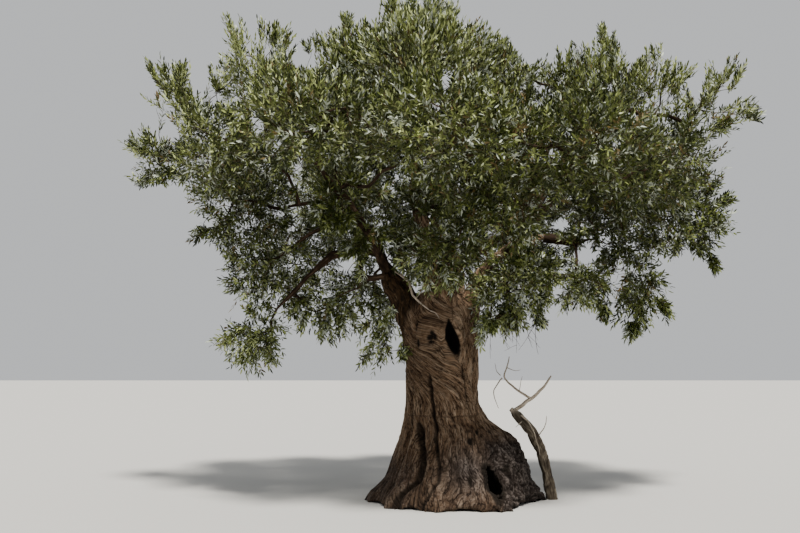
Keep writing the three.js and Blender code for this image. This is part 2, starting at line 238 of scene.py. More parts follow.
# Leaf tones, by name: base colour, roughness, and how often a shoot gets it in the sun and in the shade
# The tones paint light and shade on one olive leaf, from painted sunlit through mid to painted shade; the
# silver underside also paints a glint, and dry is the colour of dry leaves.
TONES = {
    "leaf_painted_sunlit": ((0.35, 0.395, 0.165), 0.40, 0.27, 0.01),
    "leaf_painted_half_lit": ((0.17, 0.20, 0.055), 0.42, 0.27, 0.09),
    "leaf_mid": ((0.068, 0.085, 0.014), 0.45, 0.20, 0.32),
    "leaf_painted_shade": ((0.018, 0.026, 0.0015), 0.48, 0.10, 0.45),
    "leaf_underside_and_painted_glint": ((0.37, 0.405, 0.335), 0.55, 0.17, 0.11),
    "leaf_dry": ((0.10, 0.07, 0.02), 0.6, 0.02, 0.03),
}
STEM_COLOUR = (0.12, 0.10, 0.05)

# The skin of the trunk and stout limbs: the size of its faces, how often it is softened, and how far
# the trunk is carried on down before it is cut flat at the ground
SKIN_FACE = 0.0145
SKIN_SOFTENED = 14
BELOW_GROUND = 0.08
# A limb is thicker where it leaves its parent, by this share, over this many times its radius
COLLAR = 0.28
COLLAR_LENGTH = 2.6
# The share of its radius that a limb loses towards its end
TAPER = 0.55
CROOKED = 0.022

# Bark strands: how far apart, how long and how deep each kind is
STRANDS = ((0.2, 1.1, 0.03), (0.072, 0.5, 0.02), (0.032, 0.24, 0.014))
STRAND_SHARES = (0.12, 0.38, 0.5)
GIRTH = 0.45  # the radius at which the trunk's strands are measured
# Strands on the boughs and on dead wood, against those on the trunk
LIMB_BARK = 0.5
DEAD_GRAIN = 0.35
# The strands that come down from the left bough turn round the trunk, in degrees for each metre
SWEEP = 150.0
SWEEP_FROM = 1.0
SWEEP_FULL = 1.4
SEAM_HEIGHTS = (1.0, 1.27, 1.65, 2.4)
SEAM_FACING = (322.0, 316.0, 287.0, 285.0)
# Deep furrows: heights, the way that each faces there in degrees from +X, half width and depth
FURROWS = (
    ((0.0, 0.13, 0.2, 0.3, 0.48, 0.62, 0.75, 0.9), (228, 228, 232, 240, 241, 236, 229, 224), 0.034, 0.11),
    ((0.05, 0.2, 0.29, 0.44, 0.58, 0.75, 1.3, 1.45), (249, 254, 259, 258, 255, 250, 250, 245), 0.016, 0.06),
    ((0.0, 0.3, 0.7, 1.3), (205, 210, 213, 211), 0.013, 0.045),
    ((1.05, 1.3, 1.6), (309, 305, 300), 0.01, 0.03),
    ((0.0, 0.4, 0.9, 1.5), (60, 66, 70, 78), 0.015, 0.06),
    ((0.0, 0.5, 1.0, 1.8), (112, 116, 121, 118), 0.015, 0.06),
    ((0.0, 0.4, 0.8, 1.2), (158, 155, 160, 163), 0.013, 0.05),
)

# Marks on the trunk's front: the middle, across and up, then the half width and half height
KNOT_HOLE = (0.042, 1.86, 0.072, 0.205)
HEALED_STUB = (-0.2, 1.9, 0.165, 0.2)
STUB_PITS = (
    (-0.205, 1.85, 0.05, 0.045), (-0.15, 1.86, 0.035, 0.05), (-0.18, 1.9, 0.035, 0.05),
    (-0.19, 1.8, 0.05, 0.022), (-0.36, 1.98, 0.02, 0.09), (-0.335, 1.79, 0.026, 0.07),
)
ROOT_HOLLOW = (0.45, 0.29, 0.105, 0.19)
ROOT_PITS = (
    (0.53, 0.19, 0.085, 0.16), (0.37, 0.43, 0.05, 0.09), (0.227, 0.717, 0.05, 0.052),
    (0.31, 0.807, 0.03, 0.036), (0.21, 0.31, 0.035, 0.085), (0.62, 0.42, 0.06, 0.05),
)
# How each hole narrows: how far round it and how softly, how much its foot swells, how low it starts to
# narrow, and its lean
KNOT_NARROWED = (2.4, 1.4, 0.15, 0.5, 0.045)
HOLLOW_NARROWED = (2.0, 0.9, 0.0, 0.7, 0.05)
# The rough burl round the right root
BURL_FACING = -15.0
BURL_WIDE = 58.0
BURL_TOP = 0.88
BURL_LEAN = 28.0
# The pale bark low on the front: its facing and height, and how far it spreads in both
PALE_FACING = (284.0, 24.0)
PALE_HEIGHT = (0.42, 0.26)
# Over this height a bough's bark takes the place of the trunk's
TRUNK_TOP = 1.9

# Bare twigs: a radius, then the places that each runs through. The first eight stand on the dead stem at
# the trunk's foot, the next is the pale strip down it, and the last three stand on the bare branch.
DEAD_TWIGS = (
    (0.026, (0.79, 0.1, 1.0), (1.0, 0.1, 1.15), (1.16, 0.09, 1.29), (1.24, 0.08, 1.42)),
    (0.016, (1.0, 0.1, 1.15), (0.82, 0.08, 1.26), (0.66, 0.07, 1.39), (0.72, 0.06, 1.51),
     (0.745, 0.06, 1.64)),
    (0.009, (0.66, 0.07, 1.39), (0.565, 0.05, 1.29), (0.55, 0.04, 1.17), (0.61, 0.04, 1.04)),
    (0.006, (0.72, 0.06, 1.51), (0.79, 0.05, 1.475), (0.875, 0.05, 1.485)),
    (0.006, (0.86, 0.08, 1.23), (0.87, 0.07, 1.32), (0.9, 0.06, 1.41)),
    (0.006, (0.64, 0.07, 1.42), (0.59, 0.06, 1.47), (0.575, 0.05, 1.56)),
    (0.009, (1.08, 0.1, 0.72), (1.15, 0.05, 0.82), (1.165, 0.04, 0.95)),
    (0.007, (0.9, 0.1, 0.93), (0.86, 0.03, 0.87), (0.8, 0.0, 0.83)),
    (0.011, (0.87, 0.045, 0.96), (0.96, 0.035, 0.88), (1.02, 0.035, 0.76), (1.06, 0.03, 0.62),
     (1.08, 0.03, 0.5)),
    (0.007, (-0.43, -0.2, 2.5), (-0.36, -0.24, 2.58), (-0.33, -0.26, 2.68)),
    (0.007, (-0.36, -0.3, 2.3), (-0.3, -0.3, 2.36), (-0.22, -0.32, 2.38)),
    (0.007, (-0.2, -0.47, 2.15), (-0.13, -0.5, 2.12), (-0.1, -0.52, 2.06)),
)
# Where fine bare twigs hang by the trunk's top, and how many in each place
WISP_PLACES = ((0.6, -0.45, 2.1), (0.85, -0.35, 2.05), (0.05, -0.55, 2.3))
WISPS_EACH = 9
# A bent stub at the left bough, and a twig that hangs from it
LIVE_STUBS = (
    (0.042, (-0.72, -0.2, 2.57), (-0.88, -0.2, 2.53), (-0.98, -0.2, 2.58), (-1.01, -0.2, 2.76)),
    (0.012, (-0.97, -0.2, 2.57), (-1.0, -0.2, 2.42), (-1.13, -0.2, 2.4), (-1.27, -0.2, 2.32)),
)


# Noise and small helpers


def lattice(cell, seed):
    """A number from -1 to 1 at each whole-number place, the same every run."""
    h = cell[..., 0] * 73856093 ^ cell[..., 1] * 19349663 ^ cell[..., 2] * 83492791 ^ (seed * 2654435761)
    h = (h ^ (h >> 13)) * 1274126177 & 0xFFFFFFFF
    h = (h ^ (h >> 16)) * 2246822519 & 0xFFFFFFFF
    return (h ^ (h >> 15) & 0xFFFFFFFF) / 2147483647.5 - 1.0


def noise(place, seed=0):
    """Smooth noise from -1 to 1 at each of many places."""
    cell = np.floor(place).astype(np.int64)
    part = place - cell
    part = part * part * (3 - 2 * part)
    total = np.zeros(place.shape[:-1])
    for corner in itertools.product((0, 1), repeat=3):
        share = np.prod(np.where(np.array(corner) == 1, part, 1 - part), axis=-1)
        total += share * lattice(cell + np.array(corner), seed)
    return total


def noises(place, first):
    """Three kinds of smooth noise side by side."""
    return np.stack([noise(place, seed) for seed in range(first, first + 3)], axis=1)


def smooth(x):
    t = np.clip(x, 0.0, 1.0)
    return t * t * (3 - 2 * t)


def bell(x, wide):
    return np.exp(-((x / wide) ** 2))


def unit(v):
    return v / np.maximum(np.linalg.norm(v, axis=-1, keepdims=True), 1e-9)


def across(axis):
    """Two directions square to each axis and to each other."""
    helper = np.where(np.abs(axis[..., 2:3]) < 0.8, UP, np.array([1.0, 0.0, 0.0]))
    side = unit(np.cross(axis, helper))
    return side, np.cross(axis, side)


def mesh_arrays(obj):
    """Vertices and triangles of an object."""
    mesh = obj.data
    verts = np.zeros(len(mesh.vertices) * 3)
    mesh.vertices.foreach_get("co", verts)
    mesh.calc_loop_triangles()
    faces = np.zeros(len(mesh.loop_triangles) * 3, np.int64)
    mesh.loop_triangles.foreach_get("vertices", faces)
    return verts.reshape(-1, 3), faces.reshape(-1, 3)


def solid(node):
    return mesh_arrays(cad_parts[node])


def search_tree(verts, faces):
    return BVHTree.FromPolygons(verts.tolist(), faces.tolist())


def outside_by(tree, place):
    """How far a place is outside a closed surface, or minus how far inside."""
    hit, normal, _, far = tree.find_nearest(Vector(place))
    return far if (Vector(place) - hit).dot(normal) > 0 else -far


def bare_mesh(name, verts, faces):
    mesh = bpy.data.meshes.new(name)
    mesh.from_pydata(verts.tolist(), [], faces.tolist())
    mesh.shade_smooth()
    return mesh


def placed(name, data):
    obj = bpy.data.objects.new(name, data)
    bpy.context.scene.collection.objects.link(obj)
    return obj


def mesh_object(name, verts, faces, material):
    mesh = bare_mesh(name, verts, faces)
    mesh.materials.append(material)
    return placed(name, mesh)


def joined(parts):
    """Vertices and faces of many parts together, then whatever else each part tells of its vertices."""
    verts = np.concatenate([p[0] for p in parts])
    shift = np.cumsum([0] + [len(p[0]) for p in parts[:-1]])
    faces = np.concatenate([p[1] + s for p, s in zip(parts, shift)])
    rest = [np.concatenate(column) for column in list(zip(*parts))[2:]]
    return (verts, faces, *rest)


# The skeleton of the trunk and limbs


def section(verts, faces, place, axis):
    """Centre and radius of a solid's cross-section by a plane, or None where it misses."""
    height = (verts - place) @ axis
    side = height[faces] > 0
    cut = faces[side.any(1) & ~side.all(1)]
    if len(cut) < 3:
        return None
    ends = []
    for a, b in ((0, 1), (1, 2), (2, 0)):
        ha, hb = height[cut[:, a]], height[cut[:, b]]
        crosses = (ha > 0) != (hb > 0)
        share = np.where(crosses, ha / np.where(crosses, ha - hb, 1.0), 0.0)[:, None]
        point = verts[cut[:, a]] * (1 - share) + verts[cut[:, b]] * share
        ends.append(np.where(crosses[:, None], point, np.nan))
    stack = np.array(ends)
    middles = np.nanmean(stack, axis=0)
    lengths = np.linalg.norm(np.nanmax(stack, axis=0) - np.nanmin(stack, axis=0), axis=1)
    centre = (middles * lengths[:, None]).sum(0) / lengths.sum()
    radius = (np.linalg.norm(middles - centre, axis=1) * lengths).sum() / lengths.sum()
    return centre, radius


def limb_line(node, foot, stations=9, margin=0.07):
    """Points and radii along a limb of the frame, from the end nearest to foot."""
    verts, faces = solid(node)
    middle = verts.mean(0)
    axis = np.linalg.svd(verts - middle, full_matrices=False)[2][0]
    reach = (verts - middle) @ axis
    low, high = reach.min(), reach.max()
    cuts = []
    for share in np.linspace(margin, 1 - margin, stations):
        found = section(verts, faces, middle + axis * (low + share * (high - low)), axis)
        if found:
            cuts.append(found)
    points, radii = (np.array(part) for part in zip(*cuts))
    along = unit(np.gradient(points, axis=0))
    radii = radii * np.sqrt(np.abs(along @ axis))
    end = margin * (high - low)
    points = np.vstack([points[0] - along[0] * end, points, points[-1] + along[-1] * end])
    radii = np.concatenate([radii[:1], radii, radii[-1:]])
    if np.linalg.norm(points[-1] - foot) < np.linalg.norm(points[0] - foot):
        return points[::-1], radii[::-1]
    return points, radii


def lengths_along(points):
    gaps = np.linalg.norm(np.diff(points, axis=0), axis=1)
    return np.concatenate([[0.0], np.cumsum(gaps)])


def resample(points, radii, step):
    """The same line with points a step apart."""
    far = lengths_along(points)
    count = max(2, int(round(far[-1] / step)) + 1)
    at = np.linspace(0.0, far[-1], count)
    return np.stack([np.interp(at, far, points[:, k]) for k in range(3)], 1), np.interp(at, far, radii)


def crooked(points):
    """A line that strays a little to each side between its ends."""
    far = lengths_along(points)
    held = smooth(far / 0.4) * smooth((far[-1] - far) / 0.3)
    return points + CROOKED * noises(points * 2.6, 61) * held[:, None]


def nearest(points, place):
    return int(np.argmin(np.linalg.norm(points - place, axis=1)))


def trunk_line():
    """The trunk's middle line and radii, from above the flare to just under its top."""
    heights = np.linspace(0.35, 0.86, 8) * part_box("trunk")[1].z
    cuts = [section(*solid("trunk"), np.array([0.0, 0.0, z]), UP) for z in heights]
    return [np.array(part) for part in zip(*cuts)]


class Wood:
    """Points of wood that each know the point before them. The frame's limbs come first."""

    def __init__(self):
        self.places = []
        self.before = []
        self.radii = []
        self.buds = []

    def add(self, place, before, radius=0.0, bud=True):
        self.places.append(np.asarray(place, float))
        self.before.append(before)
        self.radii.append(radius)
        self.buds.append(bud)
        return len(self.places) - 1

    def add_line(self, points, radii, before, first_bud=0.0):
        """Adds a limb. Every few points, past the bare share of its length, it may sprout."""
        ids = []
        last = len(points) - 1
        for i, (point, radius) in enumerate(zip(points, radii)):
            bud = i == last or (i >= first_bud * last and i % BUD_EVERY == 0)
            before = self.add(point, before, radius, bud)
            ids.append(before)
        return ids


def frame_wood():
    """The skeleton of the trunk and of each limb that the frame has, and each limb's own line."""
    wood = Wood()
    lines = {"trunk": resample(*trunk_line(), LIMB_STEP)}
    ids = {"trunk": wood.add_line(*lines["trunk"], -1, 2.0)}
    wood.buds[ids["trunk"][-1]] = False
    for name, parent in PARENTS.items():
        from_points = lines[parent][0]
        middle = sum(np.array(corner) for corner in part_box(name)) / 2
        points, radii = limb_line(name, from_points[nearest(from_points, middle)])
        if name in DEAD:
            lines[name] = resample(points, radii, DEAD_STEP)
            continue
        hold = nearest(from_points, points[0] + (points[0] - points[1]))
        points = np.vstack([from_points[hold], points])
        points, radii = resample(points, np.concatenate([radii[:1], radii]), LIMB_STEP)
        points = crooked(points)
        lines[name] = (points, radii)
        bare = BARE_SHARE[parent == "trunk"]
        ids[name] = wood.add_line(points[1:], radii[1:], ids[parent][hold], bare)
    return wood, lines


# Growth of boughs and twigs into the masses


def mass_places(node, count, rng, skin):
    """Places spread evenly through a mass of foliage, and how deep each lies under the crown's surface."""
    verts, faces = solid(node)
    tree = search_tree(verts, faces)
    centre = (verts.min(0) + verts.max(0)) / 2
    ways = unit(rng.normal(size=(count, 3)))
    shares = rng.random(count) ** (1 / 3)
    found = []
    for way, share in zip(ways, shares):
        hit, _, _, far = tree.ray_cast(Vector(centre), Vector(way))
        if hit is None:
            continue
        depth = (1 - share) * far
        if depth < DEEP and outside_by(skin, hit + Vector(way) * 0.09) < 0:
            depth = DEEP
        found.append((centre + way * share * far, depth))
    return [np.array(part) for part in zip(*found)]


def solid_volume(node):
    verts, faces = solid(node)
    a, b, c = (verts[faces[:, k]] for k in range(3))
    return abs(np.einsum("ij,ij->i", a, np.cross(b, c)).sum()) / 6


def spread_out(places, gaps):
    """Picks places, in order, that keep their own gap from those picked before."""
    cell = float(gaps.max())
    cells = {}
    apart = []
    around = list(itertools.product((-1, 0, 1), repeat=3))
    for i, (place, gap) in enumerate(zip(places.tolist(), gaps.tolist())):
        x, y, z = (int(c // cell) for c in place)
        near = (other for a, b, c in around for other in cells.get((x + a, y + b, z + c), ()))
        if all(math.dist(place, other) >= gap for other in near):
            cells.setdefault((x, y, z), []).append(place)
            apart.append(i)
    return apart


def scatter(gap, per_volume, least_depth, skin, rng):
    """Goals for growth: evenly spread, closer together near the outside and in a small mass."""
    parts = []
    for node in FOLIAGE:
        volume = solid_volume(node)
        found, depths = mass_places(node, int(volume * per_volume) + 20, rng, skin)
        rough = 0.55 + 0.75 * (0.5 + 0.5 * noise(found * 3.1, 11)) + 0.2 * rng.random(len(found))
        keep = depths > min(least_depth, 0.42 * (volume / 4.2) ** (1 / 3)) * rough
        full = FULLNESS.get(node.removeprefix(PREFIX), 1.0)
        close = np.clip(volume ** (1 / 3) / THICK_MASS, 0.7, 1.0) * full ** (-1 / 3)
        parts.append((found[keep], gap * close * (1 + 0.25 * smooth((depths[keep] - 0.3) / 0.3))))
    places, gaps = (np.concatenate(part) for part in zip(*parts))
    order = rng.permutation(len(places))
    places, gaps = places[order], gaps[order]
    return places[spread_out(places, gaps)]


def sprig_goals(lines, rng):
    """Goals for the sprigs that hide a limb, round it and mostly above it."""
    goals = []
    for name, (low, high, count) in SPRIGS.items():
        points, radii = resample(*lines[name], 0.02)
        at = (rng.uniform(low, high, count) * (len(points) - 1)).astype(int)
        way = unit(rng.normal(size=(count, 3)) + 0.3 * UP)
        goals.append(points[at] + way * (radii[at] + rng.uniform(*SPRIG_REACH, count))[:, None])
    return np.concatenate(goals)


def spray_goals(rng):
    goals = [np.array(at) + rng.uniform(-1, 1, (count, 3)) * np.array(half) for at, half, count in SPRAYS]
    return np.concatenate(goals)


def in_gap(places, gaps):
    """Tells which places the camera sees in one of the gaps."""
    eye = np.array(CAMERA_PLACE)
    seen = eye + (places - eye) * (-eye[1] / (places[:, 1] - eye[1]))[:, None]
    ragged = 1 + 0.6 * noise(seen * 12, 12)
    found = np.zeros(len(places), bool)
    for x, z, wide, high in gaps:
        found |= np.hypot((seen[:, 0] - x) / wide, (seen[:, 2] - z) / high) < ragged
    return found


def edges(goals):
    """At each goal, the way out of the crown, about as long as 1 at its edge and 0 deep inside."""
    tree = KDTree(len(goals))
    for i, goal in enumerate(goals):
        tree.insert(goal, i)
    tree.balance()
    out = np.zeros_like(goals)
    for i, goal in enumerate(goals):
        near = [k for _, k, _ in tree.find_range(goal, EDGE_REACH)]
        out[i] = (goal - goals[near].mean(0)) / (0.375 * EDGE_REACH)
    return out


def grow(wood, goals, step, reach, rng):
    """Grows wood towards the goals. Returns the point of wood that reached each goal."""
    owner = np.full(len(goals), -1)
    places = np.array(wood.places)
    budding = np.flatnonzero(wood.buds)
    gap = np.linalg.norm(goals[:, None] - places[None, budding], axis=2)
    near = budding[gap.argmin(1)]
    dist = gap.min(1)
    heading = {}
    for _ in range(MOST_ROUNDS):
        owner = np.where((owner < 0) & (dist < reach), near, owner)
        left = np.flatnonzero(owner < 0)
        if not len(left):
            break
        tips, which = np.unique(near[left], return_inverse=True)
        way = np.zeros((len(tips), 3))
        np.add.at(way, which, unit(goals[left] - places[near[left]]))
        way = unit(way) + KEEPS_WAY * np.array([heading.get(tip, (0, 0, 0)) for tip in tips])
        way = unit(way + WANDER * rng.normal(size=way.shape))
        fresh = places[tips] + way * step
        ids = np.array([wood.add(place, int(tip)) for place, tip in zip(fresh, tips)])
        heading.update(zip(ids, way))
        places = np.vstack([places, fresh])
        gap = np.linalg.norm(goals[left][:, None] - fresh[None], axis=2)
        closer = gap.min(1) < dist[left]
        near[left[closer]] = ids[gap.argmin(1)[closer]]
        dist[left] = np.minimum(dist[left], gap.min(1))
        dist[left[~closer]] -= step * 0.2
    return np.where(owner < 0, near, owner)


def thicken(wood, owners):
    """Gives each grown point a radius by the number of shoots that it feeds."""
    fed = np.zeros(len(wood.places))
    np.add.at(fed, owners, 1.0)
    for i in range(len(wood.places) - 1, 0, -1):
        if wood.before[i] >= 0:
            fed[wood.before[i]] += fed[i]
    for i in range(len(wood.places)):
        if wood.radii[i] == 0.0:
            wanted = TWIG_RADIUS * max(fed[i], 1.0) ** PIPE_POWER
            wood.radii[i] = min(wanted, 0.93 * wood.radii[wood.before[i]])
    return fed


def chains(wood, fed, first):
    """Lines of grown points: each follows the fullest branch on, from where it leaves its parent."""
    children = {}
    for i in range(first, len(wood.places)):
        if fed[i] > 0:
            children.setdefault(wood.before[i], []).append(i)
    starts = []
    for parent, found in children.items():
        found.sort(key=lambda i: -fed[i])
        starts += found if parent < first else found[1:]
    lines = []
    for start in sorted(starts):
        line = [wood.before[start], start]
        while line[-1] in children:
            line.append(children[line[-1]][0])
        lines.append(line)
    return lines


# Wood as tubes


def frames_along(points):
    """The way along a line at each point, and a side square to it that doesn't twist."""
    along = unit(np.gradient(points, axis=0))
    side = across(along[:1])[0][0]
    sides = []
    for axis in along:
        side = unit(side - axis * (side @ axis))
        sides.append(side)
    return along, np.array(sides)


def round_grain(girth, turn, far):
    """A place in the bark's grain from the angle round the wood and the length along it."""
    return np.stack([girth * np.cos(turn), girth * np.sin(turn), far], axis=1)


def tube(points, radii, sides):
    """An open tube: vertices and four-cornered faces, then for each vertex its place in the bark's
    grain, the way out from the middle, and the tube's radius there."""
    along, side = frames_along(points)
    angle = np.arange(sides) * 2 * math.pi / sides
    out = np.cos(angle)[:, None] * side[:, None] + np.sin(angle)[:, None] * np.cross(along, side)[:, None]
    verts = points[:, None] + np.asarray(radii)[:, None, None] * out
    girth = max(float(np.mean(radii)), 0.012)
    far = np.repeat(lengths_along(points), sides) + 7.31 * points[0].sum()
    grain = round_grain(girth, np.tile(angle, len(points)), far)
    i = np.arange(len(points) - 1)[:, None] * sides
    j = np.arange(sides)[None]
    k = (j + 1) % sides
    faces = np.stack([i + j, i + k, i + sides + k, i + sides + j], axis=-1).reshape(-1, 4)
    return verts.reshape(-1, 3), faces, grain, out.reshape(-1, 3), np.repeat(radii, sides)


def closed_tube(points, radii, sides):
    """Vertices and triangles of a tube with closed ends."""
    verts, quads = tube(points, radii, sides)[:2]
    count = len(verts)
    ring = np.arange(sides)
    turned = np.roll(ring, -1)
    end = count - sides
    low = np.stack([turned, ring, np.full(sides, count)], axis=1)
    high = np.stack([end + ring, end + turned, np.full(sides, count + 1)], axis=1)
    faces = np.concatenate([quads[:, [0, 1, 2]], quads[:, [0, 2, 3]], low, high])
    return np.vstack([verts, points[0], points[-1]]), faces


def limb_radii(points, radii):
    """A limb's radii, with a collar where it leaves its parent and a taper where it ends."""
    far = lengths_along(points)
    collar = 1 + COLLAR * bell(far, COLLAR_LENGTH * radii[0])
    taper = 1 - TAPER * smooth(1 - (far[-1] - far) / 0.3)
    lumps = 1 + 0.09 * noise(points * 4.5, 64)
    return radii * collar * taper * lumps


def branch_parts(wood, grown):
    """Tubes for the grown boughs and twigs, with more sides on the thicker ones."""
    parts = []
    for line in grown:
        points = np.array([wood.places[i] for i in line])
        radii = np.array([wood.radii[i] for i in line])
        radii[0] = radii[1] * 1.25
        radii[-1] *= 0.5
        sides = 8 if radii[1] > 0.02 else 5 if radii[1] > 0.008 else 3
        if radii[1] > 0.014:
            points, radii = resample(points, radii, 0.05)
            points = crooked(points)
        parts.append(tube(points, radii, sides))
    return parts


def slim_limb(name, lines):
    points, radii = resample(*lines[name], 0.03)
    return tube(points, limb_radii(points, radii), 12)


def twig(points, radius, step=0.03):
    """A bare twig through a few points, rounded between them, that tapers to its tip."""
    points = np.array(points, float)
    for _ in range(3):
        quarter = 0.75 * points[:-1] + 0.25 * points[1:]
        three = 0.25 * points[:-1] + 0.75 * points[1:]
        mixed = np.stack([quarter, three], axis=1).reshape(-1, 3)
        points = np.vstack([points[:1], mixed, points[-1:]])
    points, radii = resample(points, np.linspace(1.0, 0.3, len(points)) * radius, step)
    points[1:] += 0.006 * noises(points * 17, 71)[1:]
    return tube(points, radii, 8 if radius > 0.01 else 5)


def wisps(wood, rng):
    """Fine bare twigs that hang from the living wood beside and before the trunk's top."""

    def stray(x, y, z):
        return rng.normal(size=3) * np.array([x, y, z])

    places = np.array(wood.places)
    slim = np.flatnonzero(np.array(wood.radii) < 0.02)
    parts = []
    for middle in WISP_PLACES:
        for _ in range(WISPS_EACH):
            about = np.array(middle) + stray(0.2, 0.12, 0.08)
            start = places[slim[nearest(places[slim], about)]]
            bend = start + stray(0.09, 0.09, 0.09) - UP * rng.uniform(0.06, 0.14)
            end = bend + stray(0.12, 0.05, 0.05) - UP * rng.uniform(0.08, 0.3)
            parts.append(twig((start, bend, end), rng.uniform(0.003, 0.005)))
            fork = 0.5 * (bend + end)
            parts.append(twig((fork, fork + stray(0.1, 0.05, 0.05) - UP * 0.08), 0.0025))
    return parts


# The bark's relief


def rope(grain, wide, long, seed):
    """Rounded strands with sharp clefts between them: 0 in a cleft, and up to 1 along a strand."""
    scale = np.array([wide, wide, long])
    stray = 0.5 * noise(grain / (scale * np.array([2.0, 2.0, 0.4])), seed + 50)
    value = np.abs(noise(grain / scale + stray[:, None], seed))
    return 1 - (1 - np.clip((value - 0.04) / 0.4, 0, 1)) ** 2


def strands(grain, scale=1.0):
    """Height of the bark over its middle, and how far each place stands out of its clefts."""
    height = np.zeros(len(grain))
    relief = np.zeros(len(grain))
    for k, ((wide, long, deep), share) in enumerate(zip(STRANDS, STRAND_SHARES)):
        value = rope(grain, wide * scale, long * scale, 21 + k)
        height += deep * scale * (value - 0.6)
        relief += share * value
    return height, relief


def oval(verts, mark):
    """Distance from the middle of a mark on the trunk's front, with 1 at its rim, far behind it."""
    x, z, wide, high = mark
    rho = np.hypot((verts[:, 0] - x) / wide, (verts[:, 2] - z) / high)
    return np.where(verts[:, 1] < 0.0, rho, 9.0)


def narrowed(verts, mark, reach, fade, swell, low, lean, shift):
    """Draws a hole to a narrow top that leans to the left."""
    x, z, _, high = mark
    near = smooth((reach - oval(verts, mark)) / fade)
    up = np.clip((verts[:, 2] - z) / high, -1.5, 1.5)
    pinch = 1 + (swell - 0.62 * smooth((up + low) / 1.6)) * near
    moved = verts.copy()
    moved[:, 0] = x + (verts[:, 0] - x) * pinch + (shift - lean * up) * near
    return moved


def around_trunk(verts, line):
    """The angle from +X, in degrees, of each vertex round the trunk's middle line."""
    line = np.vstack([np.zeros(3), line])
    x, y = (verts[:, k] - np.interp(verts[:, 2], line[:, 2], line[:, k]) for k in range(2))
    return np.degrees(np.arctan2(y, x)) % 360


def turned_from(facing, way):
    """The angle between two facings, without its sign."""
    return np.abs((facing - way + 180) % 360 - 180)


def parted(facing, verts):
    """The facing of each strand, which parts round the knot hole and the healed stub."""
    for (x, z, wide, high), grown in ((KNOT_HOLE, 1.7), (HEALED_STUB, 1.15)):
        rho = oval(verts, (x, z, wide * grown, high * grown ** 0.5))
        share = 1 / np.maximum(rho, 1.0) ** 2
        facing = facing - np.degrees((verts[:, 0] - x) / GIRTH) * share * (rho < 8)
    return facing


def swept(height):
    """How far a strand from the left bough has turned at a height, in degrees."""
    t = np.clip((height - SWEEP_FROM) / (SWEEP_FULL - SWEEP_FROM), 0, 1)
    eased = (SWEEP_FULL - SWEEP_FROM) * (t ** 3 - t ** 4 / 2)
    return SWEEP * (eased + np.maximum(height - SWEEP_FULL, 0))


def trunk_bark(verts, facing):
    """Grain, height and relief of the trunk's bark: one set of strands sweeps down from the left bough
    and meets, along a seam, those that stand upright on the right."""
    z = verts[:, 2]
    stray = (0.02 + 0.018 * smooth((0.75 - z) / 0.3)) * noise(verts * 4.3, 31)
    bent = parted(facing, verts) + np.degrees(stray / GIRTH)
    seam = np.interp(z, SEAM_HEIGHTS, SEAM_FACING)
    left = smooth((seam - facing) / 9 + 0.5) * smooth((facing - 178) / 25) * smooth((z - 0.85) / 0.25)
    upright = round_grain(GIRTH, np.radians(bent), z)
    sweeping = round_grain(GIRTH, np.radians(bent + swept(z)), z + 3.7)
    height, relief = (a * (1 - left) + b * left for a, b in zip(strands(upright), strands(sweeping)))
    ridge = bell(np.radians(facing - seam) * GIRTH, 0.022)
    ridge = ridge * smooth((z - 1.0) / 0.1) * smooth((1.7 - z) / 0.1)
    grain = np.where(left[:, None] > 0.5, sweeping, upright)
    return grain, height + 0.012 * ridge, np.maximum(relief, 0.85 * ridge)


def furrow_depth(verts, facing):
    z = verts[:, 2]
    depth = np.zeros(len(verts))
    for heights, ways, wide, deep in FURROWS:
        gap = np.radians(facing - np.interp(z, heights, ways)) * np.hypot(verts[:, 0], verts[:, 1])
        gap = gap + 0.012 * noise(verts * 9, 35)
        fade = smooth((heights[-1] + 0.06 - z) / 0.18) * smooth((z - heights[0] + 0.12) / 0.12)
        depth = np.maximum(depth, deep * fade * bell(gap, wide))
    return depth


def burl_strands(verts):
    """Height and relief of the burl's shaggy strands, which run down and outward and wind about."""
    x, y, z = (verts + 0.05 * noises(verts * 5.5, 43)).T
    lean = math.radians(BURL_LEAN)
    down = math.cos(lean) * x - math.sin(lean) * z
    up = math.sin(lean) * x + math.cos(lean) * z
    grain = np.stack([up, y, down], axis=1)
    coarse = rope(grain, 0.075, 0.2, 41)
    small = rope(grain, 0.034, 0.12, 42)
    height = 0.04 * (coarse - 0.6) + 0.024 * (small - 0.6) + 0.02 * noise(verts * 8, 47)
    return height, 0.45 * coarse + 0.55 * small


